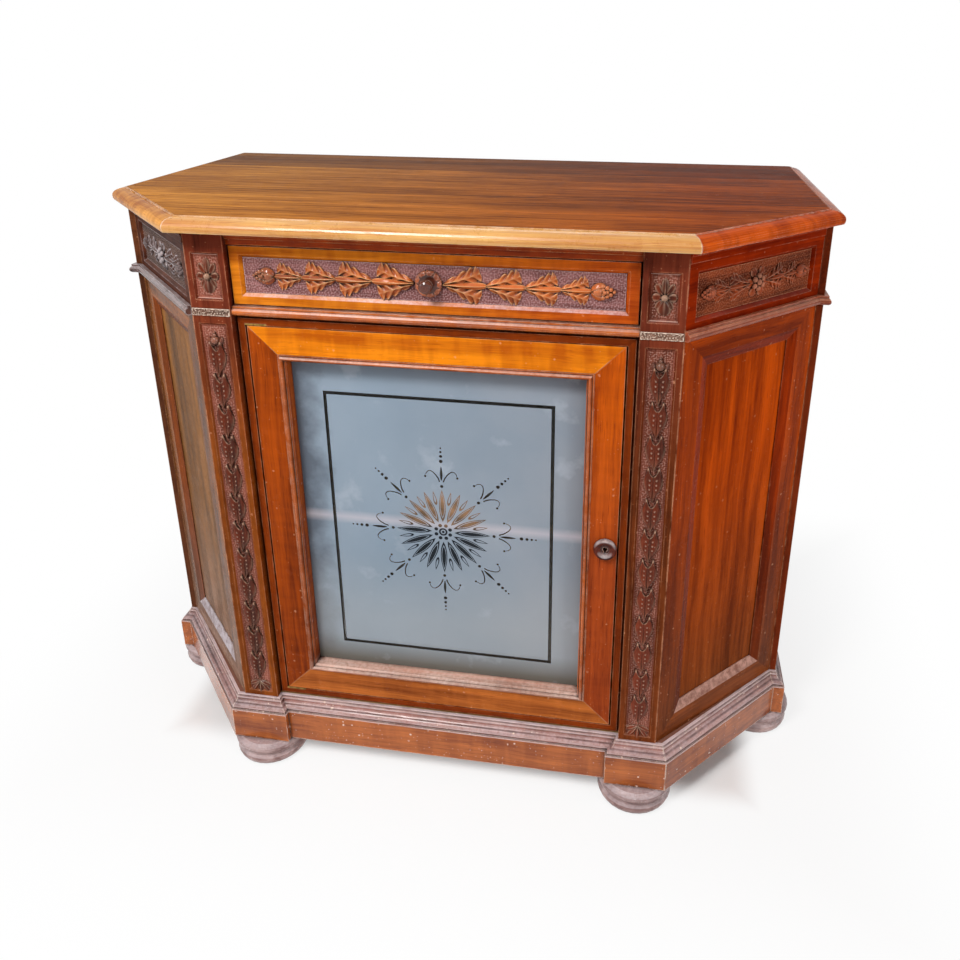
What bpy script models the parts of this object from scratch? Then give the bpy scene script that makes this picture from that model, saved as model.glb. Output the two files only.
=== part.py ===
# Side cabinet with canted corners: one drawer over one glazed door, on six bun feet.
# Metres, +Z up, the front facing -Y and the floor at Z = 0.
import math
from collections import namedtuple

import bmesh
import bpy
from mathutils import Matrix, Vector

# Clearances
SEAT = 0.0003
EASE = 0.0006
FLAT_ANGLE = math.radians(0.5)
PANEL_PLAY = 0.0005
SHELF_PLAY = 0.0008
DOOR_SIDE_GAP = 0.0025
DOOR_END_GAP = 0.0012
PIVOT_PLAY = 0.0001
PIVOT_END_GAP = 0.0005
BOLT_PLAY = 0.0003
DRAWER_FACE_GAP = 0.0025
DRAWER_LIFT = 0.0010
DRAWER_HEAD_GAP = 0.0015
DRAWER_RUN_GAP = 0.0003
DRAWER_GUIDE_GAP = 0.0005

# Heights, stacked from the floor
FOOT_HEIGHT = 0.045
PLINTH_FACE_HEIGHT = 0.057
PLINTH_MOULD_HEIGHT = 0.025
DOORWAY_HEIGHT = 0.718
DIVIDER_HEIGHT = 0.0175
DRAWER_OPENING = 0.0925
FRIEZE_RAIL_HEIGHT = 0.023
TOP_THICKNESS = 0.022

# Plan of the body
DOORWAY_WIDTH = 0.608
PILASTER_WIDTH = 0.062
PILASTER_DEPTH = 0.028
CANT_RUN = 0.210
POST_STRIP = 0.011
SIDE_RUN = 0.420
WALL = 0.022

# Top
TOP_OVERHANG = 0.030
TOP_SIDE_OVERHANG = 0.013
TOP_BACK_OVERHANG = 0.004
TOP_EDGE_WIDTH = 0.024
TOP_EDGE_STEP = 0.003
TOP_EDGE_DROP = 0.002
TOP_EDGE_FILLET = 0.0015
TOP_NOSE_HEIGHT = 0.0074
TOP_UNDER_EASE = 0.002
TOP_UNDER_LEAN = 0.0005
TOP_UNDER_HEIGHT = 0.003

# Framed walls
FRAME_WIDTH = 0.040
FRAME_SLOPE = 0.017
FRAME_LIP_DEPTH = 0.006
PANEL_SINK = 0.008
PANEL_THICKNESS = 0.008
GROOVE_DEPTH = 0.008
BACK_THICKNESS = 0.012
BACK_INSET = 0.002

# Sunk fields for carving
FIELD_SINK = 0.006
FIELD_SLOPE = 0.005
PILASTER_SINK = 0.0045
PILASTER_MARGIN = 0.009
PILASTER_FOOT_MARGIN = 0.010
PILASTER_HEAD_MARGIN = 0.011
FRIEZE_FIELD_RISE = 0.0080
FRIEZE_FIELD_DROP = 0.0345
FRIEZE_FIELD_MARGIN = 0.0185
FRIEZE_STEP = 0.002
FRIEZE_STEP_HEIGHT = 0.0105
FRIEZE_STEPS_HEIGHT = 0.021

# Waist bead
BEAD_HEIGHT = 0.015
BEAD_REACH = 0.010
BEAD_FILLET = 0.003
BEAD_QUIRK = 0.0035

# Front rails
FACE_BACK = 0.012
RAIL_DEPTH = 0.028
DIVIDER_DEPTH = 0.063
RAIL_STEP = 0.003
RAIL_FIRST_STEP = 0.009
RAIL_SECOND_STEP = 0.0135

# Door surround
SURROUND_WIDTH = 0.015
SURROUND_QUIRK_WIDTH = 0.0035
SURROUND_QUIRK_DEPTH = 0.005

# Plinth
PLINTH_FRONT_REACH = 0.008
PLINTH_BLOCK_REACH = 0.0185
PLINTH_BLOCK_LAP = 0.0205
PLINTH_BLOCK_OVER = 0.020
PLINTH_REAR_OVER = 0.008
PLINTH_SIDE_REACH = 0.017
PLINTH_TOP_INSET = 0.002
PLINTH_DEPTH = 0.030
PLINTH_BLOCK_DEPTH = 0.058
BOTTOM_THICKNESS = 0.018
FOOT_BLOCK = 0.060
FOOT_BLOCK_LENGTH = 0.045

# Plinth moulding from the face board up, heights as shares of the moulding
LOWER_FILLET_SHARE = 0.10
QUIRK_SHARE = 0.05
QUIRK_SET_BACK = 0.0025
ROLL_CENTRE = (0.0065, 0.22)
ROLL_RADII = (0.0038, 0.168)
COVE_START = (0.0070, 0.42)
COVE_CENTRE = (0.0072, 0.72)
COVE_RADII = (0.0065, 0.28)
BEAD_CENTRE = (0.0155, 0.78)
BEAD_RADII = (0.0022, 0.088)
TOP_FILLET_SHARE = 0.91
TOP_FILLET_SET_BACK = 0.0160

# Feet
FOOT_RADIUS = 0.066
FOOT_TOP_RADIUS = 0.058
FOOT_BUN_SWELL = 0.012
FOOT_GROOVE_RADIUS = 0.0595
FOOT_GROOVE_HEIGHT = 0.0255
FOOT_GROOVE_WIDTH = 0.0015
FOOT_ROLL_RADIUS = 0.064
FOOT_ROLL_SWELL = 0.0105
FOOT_BASE_RADIUS = 0.056
FOOT_SET_BACK = 0.0445
FOOT_SIDE_INSET = 0.031
FOOT_POST_SET_BACK = 0.0285
FOOT_REAR_INSET = 0.070

# Shelf
SHELF_HEIGHT = 0.353
SHELF_THICKNESS = 0.016
SHELF_SET_BACK = 0.060
BEARER_SIZE = 0.016
BEARER_END = 0.020

# Drawer
DRAWER_FRONT_THICKNESS = 0.020
DRAWER_FACE_BACK = 0.010
DRAWER_FIELD_SIDE = 0.0145
DRAWER_FIELD_EDGE = 0.0130
DRAWER_SIDE_INSET = 0.0015
DRAWER_SIDE_THICKNESS = 0.011
DRAWER_SIDE_DROP = 0.0055
DRAWER_LENGTH = 0.530
DRAWER_BACK_DROP = 0.006
DRAWER_BOTTOM_THICKNESS = 0.005
DRAWER_BOTTOM_RISE = 0.010
DRAWER_GROOVE = 0.005
DOVETAIL_LAP = 0.012
DOVETAIL_FLARE = 0.0018
DOVETAIL_SHARE = 0.6
DOVETAIL_COUNT = 3
RUNNER_WIDTH = 0.046
GUIDE_HEIGHT = 0.023
GUIDE_WIDTH = 0.0175
KNOB_PLATE_RADIUS = 0.017
KNOB_PLATE_THICKNESS = 0.008
KNOB_NECK_RADIUS = 0.0065
KNOB_NECK_LENGTH = 0.006
KNOB_RADIUS = 0.0105
KNOB_LENGTH = 0.015
KNOB_SHANK_RADIUS = 0.005
KNOB_PLATE_ROUND = 0.004

# Door
DOOR_THICKNESS = 0.028
DOOR_MEMBER = 0.044
SIGHT_LAP = 0.0115
GLASS_SET_BACK = 0.022
GLASS_THICKNESS = 0.003
GLASS_LAP = 0.0080
MOULD_PROUD = 0.005
MOULD_BEFORE = ((0.0, 0.1), (0.19, 0.1), (0.23, -0.3))
MOULD_BEAD_CENTRE = (0.50, 0.16)
MOULD_BEAD_RADII = (0.26, 0.84)
MOULD_AFTER = ((0.78, -0.2), (0.835, 0.04), (0.887, -0.36), (1.0, -0.7))
PIVOT_INSET = 0.014
PIVOT_SET_BACK = 0.007
PIVOT_RADIUS = 0.003
PIVOT_LENGTH = 0.012
PIVOT_PLATE_LENGTH = 0.034
PIVOT_PLATE_WIDTH = 0.014
PIVOT_PLATE_THICKNESS = 0.0025
PIVOT_COLLAR_RADIUS = 0.006

# Lock
LOCK_RISE = 0.365
LOCK_EDGE = 0.0185
ESCUTCHEON_RADIUS = 0.0178
ESCUTCHEON_THICKNESS = 0.004
ESCUTCHEON_DISH = (0.42, 0.55)
ESCUTCHEON_RING = (0.76, 0.45)
ESCUTCHEON_RING_RADII = (0.20, 0.55)
ESCUTCHEON_RIM = 0.4
KEYHOLE_RADIUS = 0.0035
KEYHOLE_SLOT_WIDTH = 0.003
KEYHOLE_SLOT_DROP = 0.009
CASE_WIDTH = 0.038
CASE_HEIGHT = 0.060
CASE_DEPTH = 0.0155
CASE_KEY_POCKET = 0.003
BOLT_LENGTH = 0.027
BOLT_HEIGHT = 0.016
BOLT_THICKNESS = 0.007
BOLT_SET_BACK = 0.0165
BOLT_THROW = 0.008
MORTISE_SPARE = 0.0015

# Colours, roughness and metallic values
FINISHES = {
    "top walnut": ((0.30, 0.12, 0.035), 0.35, 0.0),
    "edge walnut": ((0.52, 0.19, 0.05), 0.35, 0.0),
    "frieze walnut": ((0.13, 0.035, 0.018), 0.50, 0.0),
    "pilaster walnut": ((0.16, 0.05, 0.025), 0.50, 0.0),
    "frame walnut": ((0.28, 0.07, 0.018), 0.40, 0.0),
    "drawer walnut": ((0.45, 0.14, 0.025), 0.40, 0.0),
    "plinth walnut": ((0.25, 0.09, 0.035), 0.60, 0.0),
    "foot walnut": ((0.20, 0.12, 0.10), 0.65, 0.0),
    "inner pine": ((0.45, 0.29, 0.15), 0.75, 0.0),
    "dark turning": ((0.07, 0.025, 0.015), 0.40, 0.0),
    "frosted glass": ((0.25, 0.33, 0.38), 0.60, 0.0),
    "iron": ((0.10, 0.09, 0.08), 0.50, 0.9),
    "brass": ((0.55, 0.38, 0.15), 0.40, 1.0),
}

# Levels
PLINTH_Z = FOOT_HEIGHT
MOULD_Z = PLINTH_Z + PLINTH_FACE_HEIGHT
BODY_Z = MOULD_Z + PLINTH_MOULD_HEIGHT
HEAD_Z = BODY_Z + DOORWAY_HEIGHT
DRAWER_Z = HEAD_Z + DIVIDER_HEIGHT
RAIL_Z = DRAWER_Z + DRAWER_OPENING
TOP_Z = RAIL_Z + FRIEZE_RAIL_HEIGHT
WAIST_Z = HEAD_Z + DIVIDER_HEIGHT / 2
SHELF_Z = BODY_Z + SHELF_HEIGHT

# Places in plan
DOORWAY_X = DOORWAY_WIDTH / 2
CANT_X = DOORWAY_X + PILASTER_WIDTH
POST_X = CANT_X + CANT_RUN
BODY_X = POST_X + POST_STRIP
BODY_BACK = CANT_RUN + SIDE_RUN
CANT_LENGTH = CANT_RUN * math.sqrt(2)
WALL_IN = BODY_X - WALL
BACK_Y = BODY_BACK - BACK_INSET - BACK_THICKNESS
TOP_BACK = BODY_BACK + TOP_BACK_OVERHANG
TOP_X = BODY_X + TOP_SIDE_OVERHANG
PLINTH_BLOCK_START = DOORWAY_X - PLINTH_BLOCK_LAP
PLINTH_BLOCK_END = CANT_X + PLINTH_BLOCK_OVER
PLINTH_REAR_CORNER = POST_X + PLINTH_REAR_OVER
FOOT_POST_X = POST_X + POST_STRIP - FOOT_SIDE_INSET
FOOT_FRONT_Y = FOOT_SET_BACK - PLINTH_BLOCK_REACH
DOOR_FACE = FACE_BACK

# Door leaf
DOOR_X = DOORWAY_X - SURROUND_WIDTH - DOOR_SIDE_GAP
DOOR_LOW = BODY_Z + SURROUND_WIDTH + DOOR_END_GAP
DOOR_HIGH = HEAD_Z - SURROUND_WIDTH - DOOR_END_GAP
PIVOT_X = -DOOR_X + PIVOT_INSET
PIVOT_Y = DOOR_FACE + PIVOT_SET_BACK
LOCK_X = DOOR_X - LOCK_EDGE
LOCK_Z = BODY_Z + LOCK_RISE
BOLT_Y = DOOR_FACE + BOLT_SET_BACK
GLASS_Y = DOOR_FACE + GLASS_SET_BACK

# Drawer box
DRAWER_X = DOORWAY_X - DRAWER_FACE_GAP
DRAWER_LOW = DRAWER_Z + DRAWER_LIFT
DRAWER_HIGH = RAIL_Z - DRAWER_HEAD_GAP
DRAWER_MIDDLE = (DRAWER_LOW + DRAWER_HIGH) / 2
DRAWER_BOX_Y = DRAWER_FACE_BACK + DRAWER_FRONT_THICKNESS
DRAWER_END = DRAWER_BOX_Y + DRAWER_LENGTH
DRAWER_SIDE_X = DRAWER_X - DRAWER_SIDE_INSET
DRAWER_SIDE_LOW = DRAWER_Z + DRAWER_RUN_GAP
DRAWER_SIDE_HIGH = DRAWER_HIGH - DRAWER_SIDE_DROP
DRAWER_BOTTOM_Z = DRAWER_SIDE_LOW + DRAWER_BOTTOM_RISE
DRAWER_FLOOR = DRAWER_BOTTOM_Z + DRAWER_BOTTOM_THICKNESS
DRAWER_BACK_HIGH = DRAWER_SIDE_HIGH - DRAWER_BACK_DROP

Frame = namedtuple("Frame", "origin across up out")


# Scene and collections
def empty_scene():
    """Remove what the file holds and make the two collections."""
    for thing in list(bpy.data.objects):
        bpy.data.objects.remove(thing, do_unlink=True)
    parts = bpy.data.collections.new("side_cabinet")
    cutters = bpy.data.collections.new("cutters")
    for group in (parts, cutters):
        bpy.context.scene.collection.children.link(group)
    return parts, cutters


PARTS, CUTTERS = empty_scene()


def carrier(name, place, parent=None):
    """An empty that carries pieces, placed in the cabinet's own frame."""
    empty = bpy.data.objects.new(name, None)
    empty.empty_display_size = 0.05
    PARTS.objects.link(empty)
    empty.parent = parent
    empty.location = Vector(place)
    return empty


# The cabinet's own frame has Y = 0 at the faces of the pilasters
FRONT_REACH = max(FOOT_RADIUS - FOOT_FRONT_Y, TOP_OVERHANG)
CABINET = carrier("cabinet", (0, (FRONT_REACH - TOP_BACK) / 2, 0))
DRAWER = carrier("drawer_slide", (0, DRAWER_FACE_BACK, DRAWER_MIDDLE), CABINET)
DOOR = carrier("door_hinge", (PIVOT_X, PIVOT_Y, DOOR_LOW), CABINET)
BOLT = carrier("bolt_slide", (DOOR_X - PIVOT_X, BOLT_Y - PIVOT_Y, LOCK_Z - DOOR_LOW), DOOR)


def finish(name):
    """The material of that name, made once."""
    made = bpy.data.materials.get(name)
    if made:
        return made
    colour, roughness, metallic = FINISHES[name]
    made = bpy.data.materials.new(name)
    made.use_nodes = True
    shader = made.node_tree.nodes["Principled BSDF"]
    shader.inputs["Base Color"].default_value = (*colour, 1)
    shader.inputs["Roughness"].default_value = roughness
    shader.inputs["Metallic"].default_value = metallic
    made.diffuse_color = (*colour, 1)
    return made


def carried_place(holder):
    """Where a carrier stands in the cabinet's own frame."""
    place = Vector((0, 0, 0))
    while holder is not CABINET:
        place += holder.location
        holder = holder.parent
    return place


def settle(piece, material, holder, place=(0, 0, 0)):
    """Link a piece, give it its material and set it on its carrier."""
    PARTS.objects.link(piece)
    piece.data.materials.clear()
    piece.data.materials.append(finish(material))
    piece.parent = holder
    piece.location = Vector(place) - carried_place(holder)
    return piece


def mesh_data(name, built):
    """Turn a finished bmesh into mesh data with its faces pointing out."""
    bmesh.ops.recalc_face_normals(built, faces=built.faces)
    data = bpy.data.meshes.new(name)
    built.to_mesh(data)
    built.free()
    return data


def solid(name, built, material, holder=None, place=(0, 0, 0)):
    """Make one named piece from a bmesh in the cabinet's own frame."""
    piece = bpy.data.objects.new(name, mesh_data(name, built))
    return settle(piece, material, holder or CABINET, place)


def cutter(name, built):
    """Make one hidden cutter from a bmesh in the cabinet's own frame."""
    piece = bpy.data.objects.new(name, mesh_data(name, built))
    CUTTERS.objects.link(piece)
    piece.parent = CABINET
    piece.display_type = "WIRE"
    piece.hide_render = True
    return piece


def combine(piece, other, operation="DIFFERENCE"):
    """Cut a hidden solid out of a piece, or join it on."""
    step = piece.modifiers.new(operation.lower(), "BOOLEAN")
    step.operation = operation
    step.solver = "EXACT"
    step.object = other


# Shapes
def box(low, high):
    """A rectangular block between two corners."""
    built = bmesh.new()
    low = Vector(low)
    high = Vector(high)
    size = Matrix.Diagonal((*(high - low), 1))
    bmesh.ops.create_cube(built, size=1, matrix=Matrix.Translation((low + high) / 2) @ size)
    return built


def board(name, low, high, material, holder=None):
    """A planed board with eased arrises."""
    piece = solid(name, box(low, high), material, holder)
    ease = piece.modifiers.new("eased arrises", "BEVEL")
    ease.width = EASE
    ease.segments = 1
    ease.limit_method = "ANGLE"
    return piece


def span(side, near, far):
    """Lowest and highest X of a width on the given side of the middle."""
    return min(side * near, side * far), max(side * near, side * far)


def plan_frame(side=1):
    """Level working plane, turned over for the left-hand pieces."""
    return Frame(Vector((0, 0, 0)), Vector((side, 0, 0)), Vector((0, 1, 0)), Vector((0, 0, 1)))


def front_frame(face):
    """Upright working plane facing forward at the given depth."""
    return Frame(Vector((0, face, 0)), Vector((1, 0, 0)), Vector((0, 0, 1)), Vector((0, -1, 0)))


def cant_frame_of(side):
    """Upright working plane on a cant, measured back from its front arris."""
    across = Vector((side, 1, 0)).normalized()
    out = Vector((side, -1, 0)).normalized()
    return Frame(Vector((side * CANT_X, 0, 0)), across, Vector((0, 0, 1)), out)


def side_frame_of(side):
    """Upright working plane on a side, measured back from the pilaster faces."""
    out = Vector((side, 0, 0))
    return Frame(Vector((side * BODY_X, 0, 0)), Vector((0, 1, 0)), Vector((0, 0, 1)), out)


def frame_matrix(frame):
    """Matrix that carries plane coordinates into the cabinet's own frame."""
    matrix = Matrix((frame.across, frame.up, frame.out)).transposed().to_4x4()
    matrix.translation = frame.origin
    return matrix


def mitre_normals(path, closed):
    """Normal of the cutting plane at each point of a path, square at free ends."""
    count = len(path)
    runs = [(path[(i + 1) % count] - path[i]).normalized() for i in range(count)]
    normals = []
    for i in range(count):
        before = runs[i - 1] if closed or i > 0 else runs[i]
        after = runs[i] if closed or i < count - 1 else runs[i - 1]
        normals.append((before + after).normalized())
    return runs, normals


def slide_to(vert, run, point, normal):
    """Slide a vertex along a run until it lies on a cutting plane."""
    offset = point - vert.co.xy
    reach = offset.dot(normal) / run.dot(normal)
    vert.co.xy += run * reach


def sweep(frame, profile, path, closed=False, start=0, count=None, gap=0.0):
    """Run a profile along a path in a plane, mitred at every corner.

    The profile holds (sideways, out) points, sideways to the right of the run.
    """
    path = [Vector(point) for point in path]
    runs, normals = mitre_normals(path, closed)
    whole = closed and count is None
    if count is None:
        count = len(path) if closed else len(path) - 1
    built = bmesh.new()
    run = runs[start]
    right = Vector((run.y, -run.x))
    loop = []
    for sideways, out in profile:
        point = path[start] + right * sideways
        loop.append(built.verts.new((point.x, point.y, out)))
    for vert in loop:
        slide_to(vert, run, path[start] + run * gap, normals[start])
    edges = [built.edges.new(pair) for pair in zip(loop, loop[1:] + loop[:1])]
    first_edges = edges
    for i in range(start, start + count):
        grown = bmesh.ops.extrude_edge_only(built, edges=edges)["geom"]
        run = runs[i % len(path)]
        end = (i + 1) % len(path)
        back = gap if i == start + count - 1 else 0.0
        for item in grown:
            if isinstance(item, bmesh.types.BMVert):
                slide_to(item, run, path[end] - run * back, normals[end])
        sides = [item for item in grown if isinstance(item, bmesh.types.BMEdge)]
        edges = sides
    if whole:
        bmesh.ops.remove_doubles(built, verts=built.verts, dist=0.00001)
    else:
        bmesh.ops.contextual_create(built, geom=first_edges)
        bmesh.ops.contextual_create(built, geom=edges)
    bmesh.ops.transform(built, matrix=frame_matrix(frame), verts=built.verts)
    return built


def offset_path(path, distance, closed=False):
    """Move a path sideways to its right, keeping its corners sharp."""
    path = [Vector(point) for point in path]
    runs, normals = mitre_normals(path, closed)
    moved = []
    for i, point in enumerate(path):
        run = runs[i] if closed or i < len(path) - 1 else runs[i - 1]
        right = Vector((run.y, -run.x))
        across = Vector((normals[i].y, -normals[i].x))
        moved.append(point + across * (distance / across.dot(right)))
    return moved


def mirrored(right_half):
    """A whole outline from its right half, run from left to right."""
    left = [(-x, y) for x, y in reversed(right_half)]
    return left + list(right_half)


def plate_curve(name, outline, low, high):
    """A flat outline filled and thickened between two levels."""
    data = bpy.data.curves.new(name, "CURVE")
    data.dimensions = "2D"
    data.fill_mode = "BOTH"
    data.extrude = (high - low) / 2
    spline = data.splines.new("POLY")
    spline.points.add(len(outline) - 1)
    for point, place in zip(spline.points, outline):
        point.co = (place[0], place[1], 0, 1)
    spline.use_cyclic_u = True
    return bpy.data.objects.new(name, data)


def plate(name, outline, low, high, material, holder=None):
    """One named level board with a shaped outline."""
    piece = plate_curve(name, outline, low, high)
    return settle(piece, material, holder or CABINET, (0, 0, (low + high) / 2))


def prism(outline, low, high):
    """The same shape as a plate, as a bmesh that can be cut or joined."""
    drawn = plate_curve("outline", outline, low, high)
    PARTS.objects.link(drawn)
    graph = bpy.context.evaluated_depsgraph_get()
    data = bpy.data.meshes.new_from_object(drawn.evaluated_get(graph))
    built = bmesh.new()
    built.from_mesh(data)
    bmesh.ops.remove_doubles(built, verts=built.verts, dist=0.00001)
    bmesh.ops.translate(built, vec=(0, 0, (low + high) / 2), verts=built.verts)
    bpy.data.objects.remove(drawn)
    bpy.data.meshes.remove(data)
    return built


def cheek(outline, low, high):
    """A side view of (Y, Z) points, as thick as the given span of X."""
    built = prism(outline, low, high)
    turn = Matrix(((0, 0, 1, 0), (1, 0, 0, 0), (0, 1, 0, 0), (0, 0, 0, 1)))
    bmesh.ops.transform(built, matrix=turn, verts=built.verts)
    bmesh.ops.dissolve_limit(built, angle_limit=FLAT_ANGLE, verts=built.verts, edges=built.edges)
    return built


def arc(centre, radii, start, end, steps):
    """Points along part of an ellipse, angles in degrees."""
    points = []
    for i in range(steps + 1):
        angle = math.radians(start + (end - start) * i / steps)
        points.append((centre[0] + radii[0] * math.cos(angle), centre[1] + radii[1] * math.sin(angle)))
    return points


def turned(name, profile, material, place, holder=None, forward=False, steps=32):
    """A turned piece: a profile of (radius, height) from top to bottom, spun round."""
    data = bpy.data.meshes.new(name)
    data.from_pydata([(radius, 0, height) for radius, height in profile],
                     [(i, i + 1) for i in range(len(profile) - 1)], [])
    piece = bpy.data.objects.new(name, data)
    settle(piece, material, holder or CABINET, place)
    if forward:
        piece.rotation_euler = (math.radians(90), 0, 0)
    spin = piece.modifiers.new("turned", "SCREW")
    spin.steps = steps
    spin.render_steps = steps
    spin.use_merge_vertices = True
    spin.merge_threshold = 0.00001
    spin.use_smooth_shade = True
    return piece


def rod(centre, radius, length, axis, sides=24):
    """A round rod between two ends along an axis, as a bmesh."""
    built = bmesh.new()
    turn = Vector((0, 0, 1)).rotation_difference(Vector(axis)).to_matrix().to_4x4()
    bmesh.ops.create_cone(built, cap_ends=True, segments=sides, radius1=radius, radius2=radius,
                          depth=length, matrix=Matrix.Translation(centre) @ turn)
    return built


def sunk_field(piece, frame, low, high, depth, name):
    """Sink a field with sloping sides into the face of a piece."""
    built = bmesh.new()
    bmesh.ops.create_cube(built, size=1)
    for vert in built.verts:
        grow = FIELD_SLOPE if vert.co.z > 0 else -FIELD_SLOPE
        a = high[0] + grow if vert.co.x > 0 else low[0] - grow
        b = high[1] + grow if vert.co.y > 0 else low[1] - grow
        vert.co = (a, b, depth if vert.co.z > 0 else -depth)
    bmesh.ops.transform(built, matrix=frame_matrix(frame), verts=built.verts)
    combine(piece, cutter(name, built))


# Outlines in plan, right half, from the middle outwards
def body_outline():
    """Cant, forward-facing strip of the rear post, and side."""
    return [(CANT_X, 0), (POST_X, CANT_RUN), (BODY_X, CANT_RUN), (BODY_X, BODY_BACK)]


def top_outline():
    """Outer edge of the top, mouldings included."""
    line = CANT_X + TOP_OVERHANG * math.sqrt(2)
    front = (line - TOP_OVERHANG, -TOP_OVERHANG)
    return [front, (TOP_X, TOP_X - line), (TOP_X, TOP_BACK)]


def plinth_outline():
    """Face of the plinth: middle, corner block, cant, rear block and side."""
    rear_y = CANT_RUN - PLINTH_BLOCK_REACH
    side = BODY_X + PLINTH_SIDE_REACH
    return [
        (PLINTH_BLOCK_START, -PLINTH_FRONT_REACH),
        (PLINTH_BLOCK_START, -PLINTH_BLOCK_REACH),
        (PLINTH_BLOCK_END, -PLINTH_BLOCK_REACH),
        (PLINTH_REAR_CORNER, rear_y),
        (side, rear_y),
        (side, BODY_BACK),
    ]


def inner_outline(front, play):
    """Level board that fills the inside from a front edge to the back panel."""
    line = CANT_X - (WALL + play) * math.sqrt(2)
    side = WALL_IN - play
    back = BACK_Y - SEAT
    return mirrored([(front + line, front), (side, side - line), (side, back)])


# Top
def build_top():
    """Joined field with a mitred moulding round the front, the cants and the sides."""
    outline = top_outline()
    whole = mirrored(outline)
    field = offset_path(whole, -TOP_EDGE_WIDTH - SEAT)
    plate("top_board", field, TOP_Z, TOP_Z + TOP_THICKNESS, "top walnut")
    nose = TOP_Z + TOP_NOSE_HEIGHT
    crown = TOP_Z + TOP_THICKNESS - TOP_EDGE_DROP
    reach = TOP_EDGE_WIDTH - TOP_EDGE_STEP
    fillet = crown + TOP_EDGE_FILLET
    profile = [(-TOP_EDGE_WIDTH, TOP_Z), (-TOP_UNDER_EASE, TOP_Z)]
    profile += [(-TOP_UNDER_LEAN, TOP_Z + TOP_UNDER_HEIGHT)]
    profile += arc((-reach, nose), (reach, crown - nose), 0, 90, 7)
    profile += [(-reach, fillet), (-TOP_EDGE_WIDTH, fillet)]
    front = sweep(plan_frame(), profile, whole, start=2, count=1, gap=SEAT / 2)
    solid("top_moulding_front", front, "edge walnut")
    for side, hand in ((-1, "left"), (1, "right")):
        frame = plan_frame(side)
        cant = sweep(frame, profile, whole, start=3, count=1, gap=SEAT / 2)
        solid("top_moulding_cant_" + hand, cant, "edge walnut")
        flank = sweep(frame, profile, whole, start=4, count=1, gap=SEAT / 2)
        solid("top_moulding_side_" + hand, flank, "edge walnut")


# Front
def build_pilaster(side, hand):
    """Corner post with a sunk frieze field over a long sunk field."""
    meet = WALL / math.sqrt(2)
    outline = [
        (DOORWAY_X, 0),
        (CANT_X, 0),
        (CANT_X - meet, meet),
        (CANT_X - meet, PILASTER_DEPTH),
        (DOORWAY_X, PILASTER_DEPTH),
    ]
    outline = [(side * x, y) for x, y in outline]
    name = "pilaster_" + hand
    post = solid(name, prism(outline, BODY_Z + SEAT, TOP_Z - SEAT), "pilaster walnut")
    near, far = span(side, DOORWAY_X + PILASTER_MARGIN, CANT_X - PILASTER_MARGIN)
    frieze_low = DRAWER_Z + FRIEZE_FIELD_RISE
    frieze_high = TOP_Z - FRIEZE_FIELD_DROP
    long_low = BODY_Z + PILASTER_FOOT_MARGIN
    long_high = HEAD_Z - PILASTER_HEAD_MARGIN
    face = front_frame(0)
    sunk_field(post, face, (near, frieze_low), (far, frieze_high), FIELD_SINK, name + "_frieze_cut")
    sunk_field(post, face, (near, long_low), (far, long_high), PILASTER_SINK, name + "_shaft_cut")


def build_frieze_rail():
    """Stepped rail between the pilasters, over the drawer."""
    profile = [
        (-RAIL_DEPTH, RAIL_Z),
        (RAIL_STEP, RAIL_Z),
        (RAIL_STEP, RAIL_Z + RAIL_FIRST_STEP),
        (2 * RAIL_STEP, RAIL_Z + RAIL_FIRST_STEP),
        (2 * RAIL_STEP, RAIL_Z + RAIL_SECOND_STEP),
        (3 * RAIL_STEP, RAIL_Z + RAIL_SECOND_STEP),
        (3 * RAIL_STEP, TOP_Z - SEAT),
        (-RAIL_DEPTH, TOP_Z - SEAT),
    ]
    path = [(-DOORWAY_X + SEAT, FACE_BACK), (DOORWAY_X - SEAT, FACE_BACK)]
    solid("frieze_rail", sweep(plan_frame(), profile, path), "drawer walnut")


def bead_profile(back, low):
    """Roll, quirk and top fillet, from the lower edge upwards."""
    roll_top = low + BEAD_HEIGHT - BEAD_FILLET
    half = (roll_top - low) / 2
    profile = [(back, low)]
    profile += arc((BEAD_REACH - half, low + half), (half, half), -90, 80, 6)
    fillet = BEAD_QUIRK + half / 2
    profile += [(BEAD_QUIRK, roll_top), (fillet, roll_top)]
    profile += [(fillet, low + BEAD_HEIGHT), (back, low + BEAD_HEIGHT)]
    return profile


def build_divider():
    """Rail between the drawer and the door, with the waist bead on its front."""
    low = HEAD_Z + SEAT
    profile = [(-DIVIDER_DEPTH, low), (0.0, low)]
    profile += bead_profile(0.0, WAIST_Z - BEAD_HEIGHT / 2)[1:-1]
    profile += [(0.0, WAIST_Z + BEAD_HEIGHT / 2), (0.0, DRAWER_Z), (-DIVIDER_DEPTH, DRAWER_Z)]
    path = [(-DOORWAY_X + SEAT, FACE_BACK), (DOORWAY_X - SEAT, FACE_BACK)]
    solid("drawer_divider", sweep(plan_frame(), profile, path), "drawer walnut")


def doorway_path(inset):
    """Rectangle round the doorway, run so that its right side is the inside."""
    x = DOORWAY_X - inset
    low = BODY_Z + inset
    high = HEAD_Z - inset
    return [(-x, low), (-x, high), (x, high), (x, low)]


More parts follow.
